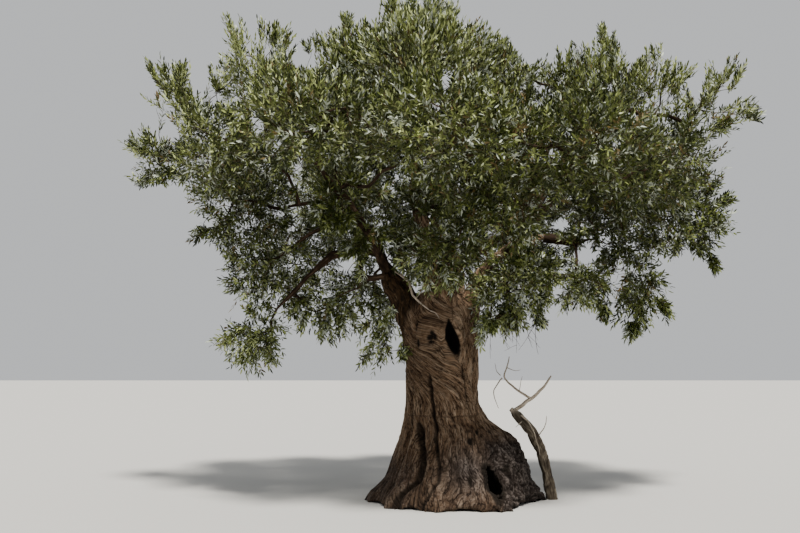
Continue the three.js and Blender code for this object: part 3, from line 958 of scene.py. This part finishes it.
def trunk_marks(verts, knot, hollow, facing, height, relief):
    """Adds the hole, stub, pits, burl and furrows to the bark's height, and tells its other traits."""
    x, z = verts[:, 0], verts[:, 2]
    stub = oval(verts, HEALED_STUB)
    calm = smooth((knot - 1.0) / 0.9)
    fold = bell(knot - 2.3, 0.9) * smooth((KNOT_HOLE[1] - 0.08 - z) / 0.1)
    height = height * calm + 0.026 * bell(knot - 1.35, 0.3)
    height = height + 0.007 * fold * np.cos(2 * math.pi * knot / 0.42)
    relief = relief * calm + (1 - calm) * 0.75
    scar = smooth((1.05 - stub) / 0.15)
    rings = 0.5 + 0.5 * np.cos(2 * math.pi * stub / 0.2 + 1.5 * noise(verts * 14, 46))
    rough = noise(verts * 26, 48)
    height = height * (1 - 0.75 * scar) + scar * (0.014 + 0.005 * rings + 0.006 * rough)
    height = height - 0.022 * bell(stub - 1.08, 0.1)
    relief = relief * (1 - 0.4 * scar) + 0.4 * scar * (0.55 + 0.25 * rings + 0.4 * rough)
    # Painted shade: the knot hole, the root hollow, the pits and the furrows are darkened to near black.
    dark = smooth((1.12 - knot) / 0.2)
    dark = np.maximum(dark, smooth((1.25 - hollow - 0.25 * noise(verts * 8, 49)) / 0.35))
    for mark in (*STUB_PITS, *ROOT_PITS):
        pit = bell(oval(verts, mark), 0.85)
        height = height - 1.1 * mark[2] * pit
        dark = np.maximum(dark, smooth((pit - 0.3) / 0.4))
    burl = smooth((BURL_WIDE - turned_from(facing, BURL_FACING)) / 20) * smooth((BURL_TOP - z) / 0.25)
    lumps, shag = burl_strands(verts)
    furrow = furrow_depth(verts, facing) * (1 - burl)
    height = height * (1 - 0.6 * burl) + lumps * burl - furrow
    # foot paints shade low on the trunk, more on its left, through the burl's dark colour; it also flattens
    # the relief there.
    foot = (0.5 + 0.2 * smooth((-0.25 - x) / 0.3)) * smooth((0.8 - z) / 0.5)
    pale = bell(turned_from(facing, PALE_FACING[0]), PALE_FACING[1])
    traits = {
        "relief": np.clip(relief * (1 - burl) + shag * burl, 0, 1),
        "dark": np.maximum(dark, smooth(furrow / 0.03) * 0.8),
        # burl holds the burl's own dark colour and the painted shade at the foot.
        "burl": np.maximum(burl, foot),
        "pale": pale * bell(z - PALE_HEIGHT[0], PALE_HEIGHT[1]),
        # Painted sunlight: the bark's colour is lighter up the trunk, and most on its right.
        "light": smooth((z - 0.55) / 0.6) * (0.3 + 0.6 * smooth((x + 0.25) / 0.3)),
    }
    return height * (1 - 0.5 * foot), traits


def limb_bark(verts, points, radii):
    """Grain, height and relief of a limb's bark, and how far each vertex is off the limb's surface."""
    along, side = frames_along(points)
    at = np.linalg.norm(verts[:, None] - points[None], axis=2).argmin(1)
    ways = (along[at], side[at], np.cross(along[at], side[at]))
    far, a, b = (np.einsum("ij,ij->i", verts - points[at], way) for way in ways)
    grain = round_grain(float(radii.mean()), np.arctan2(b, a), lengths_along(points)[at] + far)
    off = np.hypot(a, b) - radii[at] + np.maximum(np.abs(far) - 0.1, 0)
    return grain, *strands(grain, LIMB_BARK), off


def vertex_normals(verts, faces):
    a, b, c = (verts[faces[:, k]] for k in range(3))
    normal = np.cross(b - a, c - a)
    total = np.zeros_like(verts)
    for k, corner in itertools.product(range(3), repeat=2):
        total[:, k] += np.bincount(faces[:, corner], normal[:, k], len(verts))
    return unit(total)


def softened(verts, faces):
    """A surface with its creases smoothed out. What lies on the ground stays there."""
    pairs = np.concatenate([faces[:, [0, 1]], faces[:, [1, 2]], faces[:, [2, 0]]])
    many = np.maximum(np.bincount(pairs.ravel(), minlength=len(verts)), 1)
    ground = verts[:, 2] < 1e-4
    for _ in range(SKIN_SOFTENED):
        mean = np.empty_like(verts)
        for k in range(3):
            one = np.bincount(pairs[:, 0], verts[pairs[:, 1], k], len(verts))
            two = np.bincount(pairs[:, 1], verts[pairs[:, 0], k], len(verts))
            mean[:, k] = (one + two) / many
        verts = verts + 0.5 * (mean - verts)
        verts[ground, 2] = 0.0
    return verts


def cut_at_ground(mesh):
    """Cuts a mesh flat at the ground, closes the cut, and leaves only triangles."""
    work = bmesh.new()
    work.from_mesh(mesh)
    everything = work.verts[:] + work.edges[:] + work.faces[:]
    level = {"plane_co": (0, 0, 0), "plane_no": (0, 0, 1)}
    cut = bmesh.ops.bisect_plane(work, geom=everything, clear_inner=True, **level)
    rim = [part for part in cut["geom_cut"] if isinstance(part, bmesh.types.BMEdge)]
    bmesh.ops.holes_fill(work, edges=rim, sides=0)
    bmesh.ops.triangulate(work, faces=work.faces[:])
    work.to_mesh(mesh)
    work.free()


def stout_limb(name, lines):
    points, radii = resample(*lines[name], 0.06)
    return points, limb_radii(points, radii)


def trunk_skin(lines):
    """One even skin round the trunk and its stout limbs, cut flat at the ground."""
    verts, faces = solid("trunk")
    verts[verts[:, 2] < 0.001, 2] = -BELOW_GROUND
    parts = [(verts, faces)] + [closed_tube(*stout_limb(name, lines), 20) for name in STOUT]
    rough = placed("rough", bare_mesh("rough", *joined(parts)))
    join = rough.modifiers.new("join", "REMESH")
    join.mode = "VOXEL"
    join.voxel_size = SKIN_FACE
    graph = bpy.context.evaluated_depsgraph_get()
    mesh = bpy.data.meshes.new_from_object(rough.evaluated_get(graph))
    cut_at_ground(mesh)
    rough.data = mesh
    verts, faces = mesh_arrays(rough)
    bpy.data.objects.remove(rough)
    return softened(verts, faces), faces


def trunk_piece(lines, material):
    """The trunk and stout limbs with the bark's relief."""
    verts, faces = trunk_skin(lines)
    knot = oval(verts, KNOT_HOLE)
    hollow = oval(verts, ROOT_HOLLOW)
    verts = narrowed(verts, KNOT_HOLE, *KNOT_NARROWED, 0.008)
    verts = narrowed(verts, ROOT_HOLLOW, *HOLLOW_NARROWED, 0.045 * noise(verts * 7, 50))
    facing = around_trunk(verts, lines["trunk"][0])
    grain, height, relief = trunk_bark(verts, facing)
    height, traits = trunk_marks(verts, knot, hollow, facing, height, relief)
    tree = search_tree(*solid("trunk"))
    best = np.array([outside_by(tree, place) for place in verts])
    total = np.exp(-best / 0.03)
    heights, reliefs = total * height, total * traits["relief"]
    traits["warm"] = np.zeros(len(verts))
    for name in STOUT:
        limb_grain, limb_height, limb_relief, off = limb_bark(verts, *stout_limb(name, lines))
        weight = np.exp(-np.clip(off, -0.05, 1.0) / 0.03) * (verts[:, 2] > TRUNK_TOP)
        total = total + weight
        heights = heights + weight * limb_height
        reliefs = reliefs + weight * limb_relief
        nearer = (off < best) & (verts[:, 2] > TRUNK_TOP + 0.1)
        grain[nearer] = limb_grain[nearer]
        best = np.minimum(best, off)
        if name == "leader_left":
            traits["warm"] = smooth((0.12 - off) / 0.12)
    traits["relief"] = reliefs / total
    normal = vertex_normals(verts, faces)
    level = smooth(verts[:, 2] / 0.06)[:, None]
    push = normal * np.array([1.0, 1.0, 0.0]) * (1 - level) + normal * level
    moved = verts + push * (heights / total)[:, None] * (np.abs(normal[:, 2:]) < 0.97)
    moved[:, 2] = np.maximum(moved[:, 2], 0.0)
    return barked(mesh_object("trunk_bark", moved, faces, material), grain, traits)


def raised(parts, scale, bare, full):
    """Joined tubes with the bark's relief on those thicker than bare: vertices, faces, grain, relief
    and thickness."""
    verts, faces, grain, out, thick = joined(parts)
    height, relief = strands(grain, scale)
    return verts + out * (height * smooth((thick - bare) / full))[:, None], faces, grain, relief, thick


def branch_piece(parts, material):
    """All thinner wood as one piece, with bark relief on the boughs."""
    verts, faces, grain, relief, thick = raised(parts, LIMB_BARK, 0.012, 0.04)
    young = smooth((YOUNG_RADIUS * 1.4 - thick) / YOUNG_RADIUS)
    traits = {"relief": relief * (1 - young) + 0.6 * young, "young": young}
    return barked(mesh_object("branches", verts, faces, material), grain, traits)


def dead_piece(lines, material):
    """The bleached bare branch by the left bough and the dead stem at the foot, with their twigs."""
    parts = []
    for name in DEAD:
        points, radii = lines[name]
        far = lengths_along(points)
        free = far if name == "dead_sucker" else far[-1] - far
        taper = 1 - TAPER * smooth(1 - free / 0.14)
        parts.append(tube(points, radii * taper * (1 + 0.15 * noise(points * 7, 65)), 12))
    parts += [twig(places, radius) for radius, *places in DEAD_TWIGS]
    verts, faces, grain, relief, thick = raised(parts, DEAD_GRAIN, 0.01, 0.03)
    verts[:, 2] = np.maximum(verts[:, 2], 0.0)
    bark = smooth((thick - 0.028) / 0.012) * smooth((1.15 - verts[:, 2]) / 0.2)
    return barked(mesh_object("dead_wood", verts, faces, material), grain, {"relief": relief, "bark": bark})


def barked(obj, grain, traits):
    """Stores the grain and other traits of each vertex for the bark's material."""
    store = obj.data.attributes.new("grain", "FLOAT_VECTOR", "POINT")
    store.data.foreach_set("vector", grain.astype(np.float32).ravel())
    for name, values in traits.items():
        store = obj.data.attributes.new(name, "FLOAT", "POINT")
        store.data.foreach_set("value", values.astype(np.float32))
    return obj


# Shoots and leaves


def hang(place):
    """How far a shoot turns up, from its height: the low ones hang."""
    return -0.5 + 1.3 * smooth((place[:, 2] - 2.2) / 2.4)


def upright(place):
    """The leaves stand more and more upright towards the crown's top."""
    return smooth((place[:, 2] - 3.2) / 2.0)


def shoot_starts(goals, owners, out, wood, rng):
    """Where the leafy shoots leave the twigs, which way they go, and how long they are."""
    twigs, goal, out = (np.repeat(part, SHOOTS_PER_TWIG, axis=0) for part in (owners, goals, out))
    count = len(twigs)
    foot = np.array(wood.places)[twigs]
    ahead = unit(foot - np.array(wood.places)[np.array(wood.before)[twigs]])
    start = foot + (goal - foot) * rng.random((count, 1))
    way = 0.9 * out + 0.35 * ahead + 0.7 * unit(rng.normal(size=(count, 3))) + hang(start)[:, None] * UP
    edge = np.clip(np.linalg.norm(out, axis=1), 0, 1)
    length = rng.uniform(*SHOOT_LENGTH, count) * (1 + LONG_EDGE * edge * rng.random(count))
    return start, unit(way), length


def shoot_places(start, way, length, share):
    """Places at shares of the length of shoots that curve up or hang."""
    share = np.broadcast_to(share, len(start))[:, None]
    bend = 0.2 * hang(start)[:, None] * UP
    return start + (way * share + bend * share ** 2) * length[:, None]


def picked(parts, which):
    return [part[which] for part in parts]


def crown_skin():
    """One search tree over the faces of all masses, which face out."""
    return search_tree(*joined([solid(node) for node in FOLIAGE]))


def fit_shoots(start, way, length, skin, rng):
    """Shortens the shoots that would stand out of the crown, and drops those that can't fit."""
    keep = np.zeros(len(start), bool)
    for i in range(len(start)):
        most = length[i]
        allowed = rng.uniform(*SHOOT_STANDS_OUT)
        for share in SHORTER:
            length[i] = most * share
            tip = shoot_places(*picked((start, way, length), slice(i, i + 1)), 1.0)[0]
            if outside_by(skin, tip) < allowed:
                keep[i] = True
                break
    return keep


def stem_arrays(shoots, rings):
    """Thin three-sided stems for all shoots together, with a ring at each share of the length."""
    side, other = across(shoots[1])
    verts = []
    for share, radius in rings:
        middle = shoot_places(*shoots, share)
        for turn in THIRDS:
            verts.append(middle + radius * (math.cos(turn) * side + math.sin(turn) * other))
    lows = range(0, 3 * len(rings) - 3, 3)
    cell = [(a + j, a + (j + 1) % 3, a + 3 + (j + 1) % 3, a + 3 + j) for a in lows for j in range(3)]
    return repeated(np.stack(verts, axis=1), cell)


def repeated(corners, cell):
    """Vertices and faces of many small shapes that each have the same faces."""
    count, each = corners.shape[:2]
    faces = np.array(cell)[None] + np.arange(count)[:, None, None] * each
    return corners.reshape(-1, 3), faces.reshape(-1, len(cell[0]))


def leaf_frames(start, way, length, rng):
    """Foot, axis, flat side, face and size of each leaf: opposite pairs, each turned from the last."""
    side, other = across(way)
    count = len(start)
    frames = []
    turn0 = rng.uniform(0, 2 * math.pi, count)
    rise = (0.1 + 0.5 * upright(start) + 0.25 * np.minimum(hang(start), 0))[:, None] * UP
    for k in range(LEAVES_EACH):
        pair = k // 2
        share = np.minimum((pair + 0.5 + 0.3 * rng.random(count)) / (LEAF_PAIRS + 0.4), 1.0)
        turn = turn0 + pair * math.pi / 2 + (k % 2) * math.pi + rng.normal(0, 0.35, count)
        spread = np.radians(64 - 26 * share - 10 * upright(start) + rng.normal(0, 11, count))
        if k == LEAVES_EACH - 1:
            spread = spread * 0.3
        out = np.cos(turn)[:, None] * side + np.sin(turn)[:, None] * other
        axis = np.cos(spread)[:, None] * way + np.sin(spread)[:, None] * out
        axis = unit(axis + rise + 0.12 * rng.normal(size=axis.shape))
        flat = unit(np.cross(axis, UP + 0.8 * rng.normal(size=axis.shape)))
        size = LEAF_LENGTH * (1.0 - 0.12 * share ** 3) * rng.uniform(0.75, 1.15, count)
        foot = shoot_places(start, way, length, share)
        frames.append((foot, axis, flat, np.cross(flat, axis), size[:, None]))
    return [np.stack(part, axis=1) for part in zip(*frames)]


def blade_corners(frames, blade):
    """The corners of each leaf."""
    foot, axis, flat, face, size = frames
    wide = size / LEAF_LENGTH * LEAF_WIDTH / 2
    corners = [foot + axis * size * far + flat * wide * out + face * size * up for far, out, up in blade]
    return np.stack(corners, axis=-2)


def outward(place):
    """How far out in the crown a place is: about 1 at its outside."""
    return np.linalg.norm((place - CROWN_MIDDLE) / CROWN_REACH, axis=-1)


def tone_of(start, rng):
    """A tone for each leaf, as painted light and shade. A shoot's leaves mostly share one, painted lighter at
    the crown's top, at its outside and low down, and painted darker on the right middle and at the far right.
    """
    x, z = start[:, 0], start[:, 2]
    # sun is how lit each leaf is painted: lighter up the crown and at its outside.
    sun = -0.05 + 0.75 * smooth((z - 2.9) / 2.3) + 0.3 * smooth((outward(start) - 0.6) / 0.4)
    # shaded paints shade on the right between about 2.5 and 4.5 m up, low paints light low in the crown, less
    # to the right, and the far right is painted darker.
    shaded = smooth((x - 0.5) / 0.9) * smooth((4.5 - z) / 0.6) * smooth((z - 2.5) / 0.5)
    low = smooth((3.0 - z) / 0.6) * (0.5 - 0.25 * smooth((x - 1.4) / 0.4))
    sun = sun + 0.3 * noise(start * 1.3, 5) + low - 0.6 * shaded - 0.3 * smooth((x - 2.6) / 0.6)
    sun = np.clip(sun, 0, 1)[:, None]
    bright, shade = (np.array([tone[k] for tone in TONES.values()]) for k in (2, 3))
    chance = sun * bright + (1 - sun) * shade
    edge = np.cumsum(chance / chance.sum(1, keepdims=True), axis=1)[:, None]
    roll = rng.random((len(start), 1, 1))
    own = rng.random((len(start), LEAVES_EACH, 1))
    odd = rng.random((len(start), LEAVES_EACH, 1)) < ODD_LEAVES
    return (np.where(odd, own, roll) > edge).sum(2).clip(0, len(TONES) - 1)


# Materials


def plain_material(name, colour, roughness, shine=0.3):
    material = bpy.data.materials.new(name)
    material.use_nodes = True
    inputs = material.node_tree.nodes["Principled BSDF"].inputs
    inputs["Base Color"].default_value = (*colour, 1.0)
    inputs["Roughness"].default_value = roughness
    inputs["Specular IOR Level"].default_value = shine
    return material


class Nodes:
    """Short ways to add nodes to a bark material."""

    def __init__(self, name, roughness):
        self.material = plain_material(name, (0.5, 0.5, 0.5), roughness, 0.15)
        self.tree = self.material.node_tree
        self.shader = self.tree.nodes["Principled BSDF"]

    def node(self, kind, inputs):
        """A node whose inputs are set, or linked where they are another node's outputs."""
        node = self.tree.nodes.new("ShaderNode" + kind)
        for slot, value in inputs.items():
            if isinstance(value, bpy.types.NodeSocket):
                self.tree.links.new(value, node.inputs[slot])
            else:
                node.inputs[slot].default_value = value
        return node

    def trait(self, name, output="Fac"):
        node = self.node("Attribute", {})
        node.attribute_name = name
        return node.outputs[output]

    def maths(self, operation, *values):
        node = self.node("Math", dict(enumerate(values)))
        node.operation = operation
        return node.outputs[0]

    def spread(self, value, low, high):
        """Draws the values from low to high out from 0 to 1."""
        return self.node("MapRange", {"Value": value, "From Min": low, "From Max": high}).outputs["Result"]

    def grain_noise(self, wide, long, detail=3.0, rough=0.6):
        """Noise drawn out along the grain, from 0 to 1."""
        scale = self.node("VectorMath", {0: self.trait("grain", "Vector"), 1: (1 / wide, 1 / wide, 1 / long)})
        scale.operation = "MULTIPLY"
        inputs = {"Vector": scale.outputs["Vector"], "Scale": 1.0, "Detail": detail, "Roughness": rough}
        return self.spread(self.node("TexNoise", inputs).outputs["Fac"], 0.32, 0.68)

    def cracks(self, wide, long, open_by):
        """Thin lines along the grain: 0 in a crack and 1 between the cracks."""
        off = self.maths("SUBTRACT", self.grain_noise(wide, long, 2.5, 0.55), 0.5)
        return self.spread(self.maths("ABSOLUTE", off), 0.0, open_by)

    def sum(self, *parts):
        """Values, each times its share, added."""
        total = self.maths("MULTIPLY", *parts[0])
        for value, share in parts[1:]:
            total = self.maths("MULTIPLY_ADD", value, share, total)
        return total

    def ramp(self, value, stops):
        node = self.node("ValToRGB", {"Fac": value})
        while len(node.color_ramp.elements) < len(stops):
            node.color_ramp.elements.new(0.5)
        for element, (place, colour) in zip(node.color_ramp.elements, stops):
            element.position = place
            element.color = (*colour, 1.0)
        return node.outputs["Color"]

    def blend(self, a, b, factor):
        node = self.tree.nodes.new("ShaderNodeMix")
        node.data_type = "RGBA"
        for slot, output in (("Factor", factor), (6, a), (7, b)):
            self.tree.links.new(output, node.inputs[slot])
        return node.outputs[2]

    def finish(self, colour, rough, strength, height):
        """The material with its colour, and bumps of a height from the rough value."""
        bump = self.node("Bump", {"Strength": strength, "Distance": height, "Height": rough})
        self.tree.links.new(bump.outputs["Normal"], self.shader.inputs["Normal"])
        self.tree.links.new(colour, self.shader.inputs["Base Color"])
        return self.material


LIVE_BARK = (
    (0.0, (0.005, 0.0024, 0.0008)), (0.35, (0.028, 0.0145, 0.0068)), (0.62, (0.094, 0.056, 0.031)),
    (0.85, (0.18, 0.126, 0.083)), (1.0, (0.28, 0.215, 0.16)),
)
# Painted sunlight: lighter bark where the trunk is painted as lit
PAINTED_SUNLIT_BARK = (
    (0.0, (0.009, 0.0045, 0.0017)), (0.35, (0.058, 0.031, 0.0155)), (0.62, (0.185, 0.118, 0.072)),
    (0.85, (0.33, 0.245, 0.17)), (1.0, (0.45, 0.36, 0.28)),
)
WARM_BARK = (
    (0.0, (0.002, 0.001, 0.0003)), (0.4, (0.0115, 0.006, 0.002)), (0.7, (0.042, 0.023, 0.010)),
    (1.0, (0.14, 0.10, 0.06)),
)
# The burl's own dark bark, darkened further as painted shade; it also paints the shade at the trunk's foot
BURL_BARK_AND_PAINTED_SHADE = (
    (0.0, (0.001, 0.0005, 0.0003)), (0.35, (0.0045, 0.0026, 0.0017)), (0.68, (0.017, 0.012, 0.0098)),
    (1.0, (0.105, 0.088, 0.078)),
)
PALE_BARK = (
    (0.0, (0.006, 0.0038, 0.0028)), (0.35, (0.022, 0.016, 0.0125)), (0.7, (0.072, 0.057, 0.049)),
    (1.0, (0.16, 0.138, 0.122)),
)
# Bough bark, its reddish brown darkened as painted shade
BRANCH_BARK_AND_PAINTED_SHADE = (
    (0.0, (0.002, 0.001, 0.0003)), (0.4, (0.009, 0.0048, 0.0022)), (0.7, (0.026, 0.0145, 0.0075)),
    (1.0, (0.08, 0.052, 0.032)),
)
# Painted shade in the bark's cracks
PAINTED_CRACK_SHADE = ((0.0, (0.003, 0.0015, 0.0008)), (1.0, (0.012, 0.007, 0.004)))
# Near-black painted shade for the hole, hollow, pits and furrows
PAINTED_RECESS_SHADE = ((0.0, (0.001, 0.0008, 0.0005)), (1.0, (0.012, 0.008, 0.005)))
TWIG_BARK = ((0.2, (0.022, 0.012, 0.006)), (0.8, (0.075, 0.042, 0.022)))
DEAD_BARK = (
    (0.0, (0.004, 0.0026, 0.002)), (0.45, (0.026, 0.019, 0.013)), (0.75, (0.085, 0.068, 0.048)),
    (1.0, (0.24, 0.205, 0.155)),
)
BLEACHED = ((0.0, (0.05, 0.036, 0.024)), (0.4, (0.21, 0.172, 0.13)), (1.0, (0.52, 0.455, 0.375)))


def bark_material():
    """Furrowed olive bark: tan strands, warm on the left boughs and dark on the burl, with painted shade in
    its clefts, cracks, hollows, pits and furrows, on the burl and at the foot, and painted sunlight up the
    trunk, most on its right.
    """
    bark = Nodes("bark", 0.92)
    relief = bark.trait("relief")
    fibre = bark.grain_noise(0.014, 0.09)
    patch = bark.grain_noise(0.22, 0.5, 2.0)
    grit = bark.grain_noise(0.012, 0.02, 2.0)
    crack = bark.cracks(0.036, 0.2, 0.12)
    cleft = bark.cracks(0.018, 0.11, 0.08)
    # value is low in the clefts between strands, where the ramps paint shade.
    value = bark.sum((relief, 0.38), (fibre, 0.26), (patch, 0.12), (grit, 0.12), (crack, 0.12))
    coarse = bark.sum((relief, 0.24), (crack, 0.24), (grit, 0.28), (patch, 0.24))
    rough = bark.sum((fibre, 0.35), (crack, 0.4), (grit, 0.15), (cleft, 0.25))
    closed = bark.sum((bark.maths("MINIMUM", crack, cleft), 0.5), (crack, 0.3), (cleft, 0.2))
    colour = bark.ramp(value, LIVE_BARK)
    # The light trait lays painted sunlight over the bark.
    for stops, trait in ((PAINTED_SUNLIT_BARK, "light"), (WARM_BARK, "warm"), (PALE_BARK, "pale")):
        colour = bark.blend(colour, bark.ramp(value, stops), bark.trait(trait))
    # Burl colour, which also paints shade at the trunk's foot.
    colour = bark.blend(colour, bark.ramp(coarse, BURL_BARK_AND_PAINTED_SHADE), bark.trait("burl"))
    # Painted shade in the cracks, where closed is 0.
    colour = bark.blend(bark.ramp(closed, PAINTED_CRACK_SHADE), colour, closed)
    # Near-black painted shade in the hole, hollow, pits and furrows.
    colour = bark.blend(colour, bark.ramp(value, PAINTED_RECESS_SHADE), bark.trait("dark"))
    return bark.finish(colour, rough, 1.0, 0.014)


def branch_material():
    """Grey-brown boughs, darkened as painted shade, and redder young twigs."""
    bark = Nodes("branch_bark", 0.88)
    fibre = bark.grain_noise(0.012, 0.07)
    # The clefts, where relief is low, are painted darker as shade.
    value = bark.sum((bark.trait("relief"), 0.65), (fibre, 0.35))
    colour = bark.blend(bark.ramp(value, BRANCH_BARK_AND_PAINTED_SHADE), bark.ramp(fibre, TWIG_BARK), bark.trait("young"))
    return bark.finish(colour, fibre, 0.5, 0.005)


def dead_material():
    """Bleached bare wood with dark cracks, and what is left of the bark on the dead stem."""
    wood = Nodes("dead_wood", 0.85)
    crack = wood.grain_noise(0.008, 0.11)
    # Low value, in the clefts and cracks, is painted darker as shade.
    value = wood.sum((wood.trait("relief"), 0.5), (crack, 0.55))
    colour = wood.blend(wood.ramp(value, BLEACHED), wood.ramp(value, DEAD_BARK), wood.trait("bark"))
    return wood.finish(colour, crack, 0.6, 0.004)


# Camera, light and floor


def on_tree(obj):
    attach(obj, "root")
    return obj


def make_camera():
    data = bpy.data.cameras.new("camera")
    data.lens = CAMERA_LENS
    data.sensor_width = 36.0
    camera = placed("camera", data)
    camera.location = CAMERA_PLACE
    camera.rotation_euler = (math.radians(90 + CAMERA_TILT), 0, 0)
    bpy.context.scene.camera = camera


def make_light():
    world = bpy.data.worlds.new("studio")
    world.use_nodes = True
    sky = world.node_tree.nodes["Background"].inputs
    sky["Color"].default_value = (*SKY_COLOUR, 1.0)
    sky["Strength"].default_value = SKY_STRENGTH
    bpy.context.scene.world = world
    sun = bpy.data.lights.new("sun", "SUN")
    sun.energy = SUN_STRENGTH
    sun.angle = math.radians(SUN_BLUR)
    sun.color = SUN_COLOUR
    placed("sun", sun).rotation_euler = [math.radians(angle) for angle in SUN_TURN]


def make_floor():
    half = FLOOR_SIZE / 2
    corners = np.array([(-half, -half, 0), (half, -half, 0), (half, half, 0), (-half, half, 0)])
    material = plain_material("floor", FLOOR_COLOUR, 0.9)
    mesh_object("floor", corners, np.array([[0, 1, 2, 3]]), material)


# The tree


make_camera()
make_light()
make_floor()

rng = np.random.default_rng(SEED)
wood, lines = frame_wood()
first_grown = len(wood.places)
skin = crown_skin()
bough_goals = scatter(*BOUGH_GOALS, skin, rng)
mass_goals = scatter(*TWIG_GOALS, skin, rng)
twig_goals = np.vstack([mass_goals, sprig_goals(lines, rng), spray_goals(rng)])
free = np.arange(len(twig_goals)) >= len(mass_goals)
in_view = ~in_gap(twig_goals, SKY_GAPS)
twig_goals, free = picked((twig_goals, free), in_view)
bough_goals = bough_goals[~in_gap(bough_goals, SKY_GAPS)]
grow(wood, bough_goals, BOUGH_STEP, BOUGH_REACH, rng)
owners = grow(wood, twig_goals, TWIG_STEP, TWIG_REACH, rng)
fed = thicken(wood, owners)
grown = chains(wood, fed, first_grown)

trunk = on_tree(trunk_piece(lines, bark_material()))
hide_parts("trunk", *STOUT)

parts = branch_parts(wood, grown) + [slim_limb(name, lines) for name in SLIM] + wisps(wood, rng)
parts += [twig(places, radius) for radius, *places in LIVE_STUBS]
branches = on_tree(branch_piece(parts, branch_material()))
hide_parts(*SLIM)

dead = on_tree(dead_piece(lines, dead_material()))
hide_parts(*DEAD)

shoots = shoot_starts(twig_goals, owners, edges(twig_goals), wood, rng)
fits = fit_shoots(*shoots, skin, rng)
fits |= np.repeat(free, SHOOTS_PER_TWIG)
for share in (0.0, 0.5, 1.0):
    fits &= ~in_gap(shoot_places(*shoots, share), SKY_GAPS + BARE_WOOD)
shoots = picked(shoots, fits)
far_out = outward(shoots[0]) > FULL_LEAVES_FROM
stems = [stem_arrays(picked(shoots, far_out), FULL_STEM), stem_arrays(picked(shoots, ~far_out), PLAIN_STEM)]
on_tree(mesh_object("stems", *joined(stems), plain_material("stem", STEM_COLOUR, 0.7)))

leaf = leaf_frames(*shoots, rng)
tones = tone_of(shoots[0], rng)
full = blade_corners(picked(leaf, far_out), FULL_BLADE)
plain = blade_corners(picked(leaf, ~far_out), PLAIN_BLADE)
for index, (name, tone) in enumerate(TONES.items()):
    leaves = [repeated(full[tones[far_out] == index], FULL_FACES),
              repeated(plain[tones[~far_out] == index], PLAIN_FACES)]
    on_tree(mesh_object(name, *joined(leaves), plain_material(name, *tone[:2])))
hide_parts(*FOLIAGE)
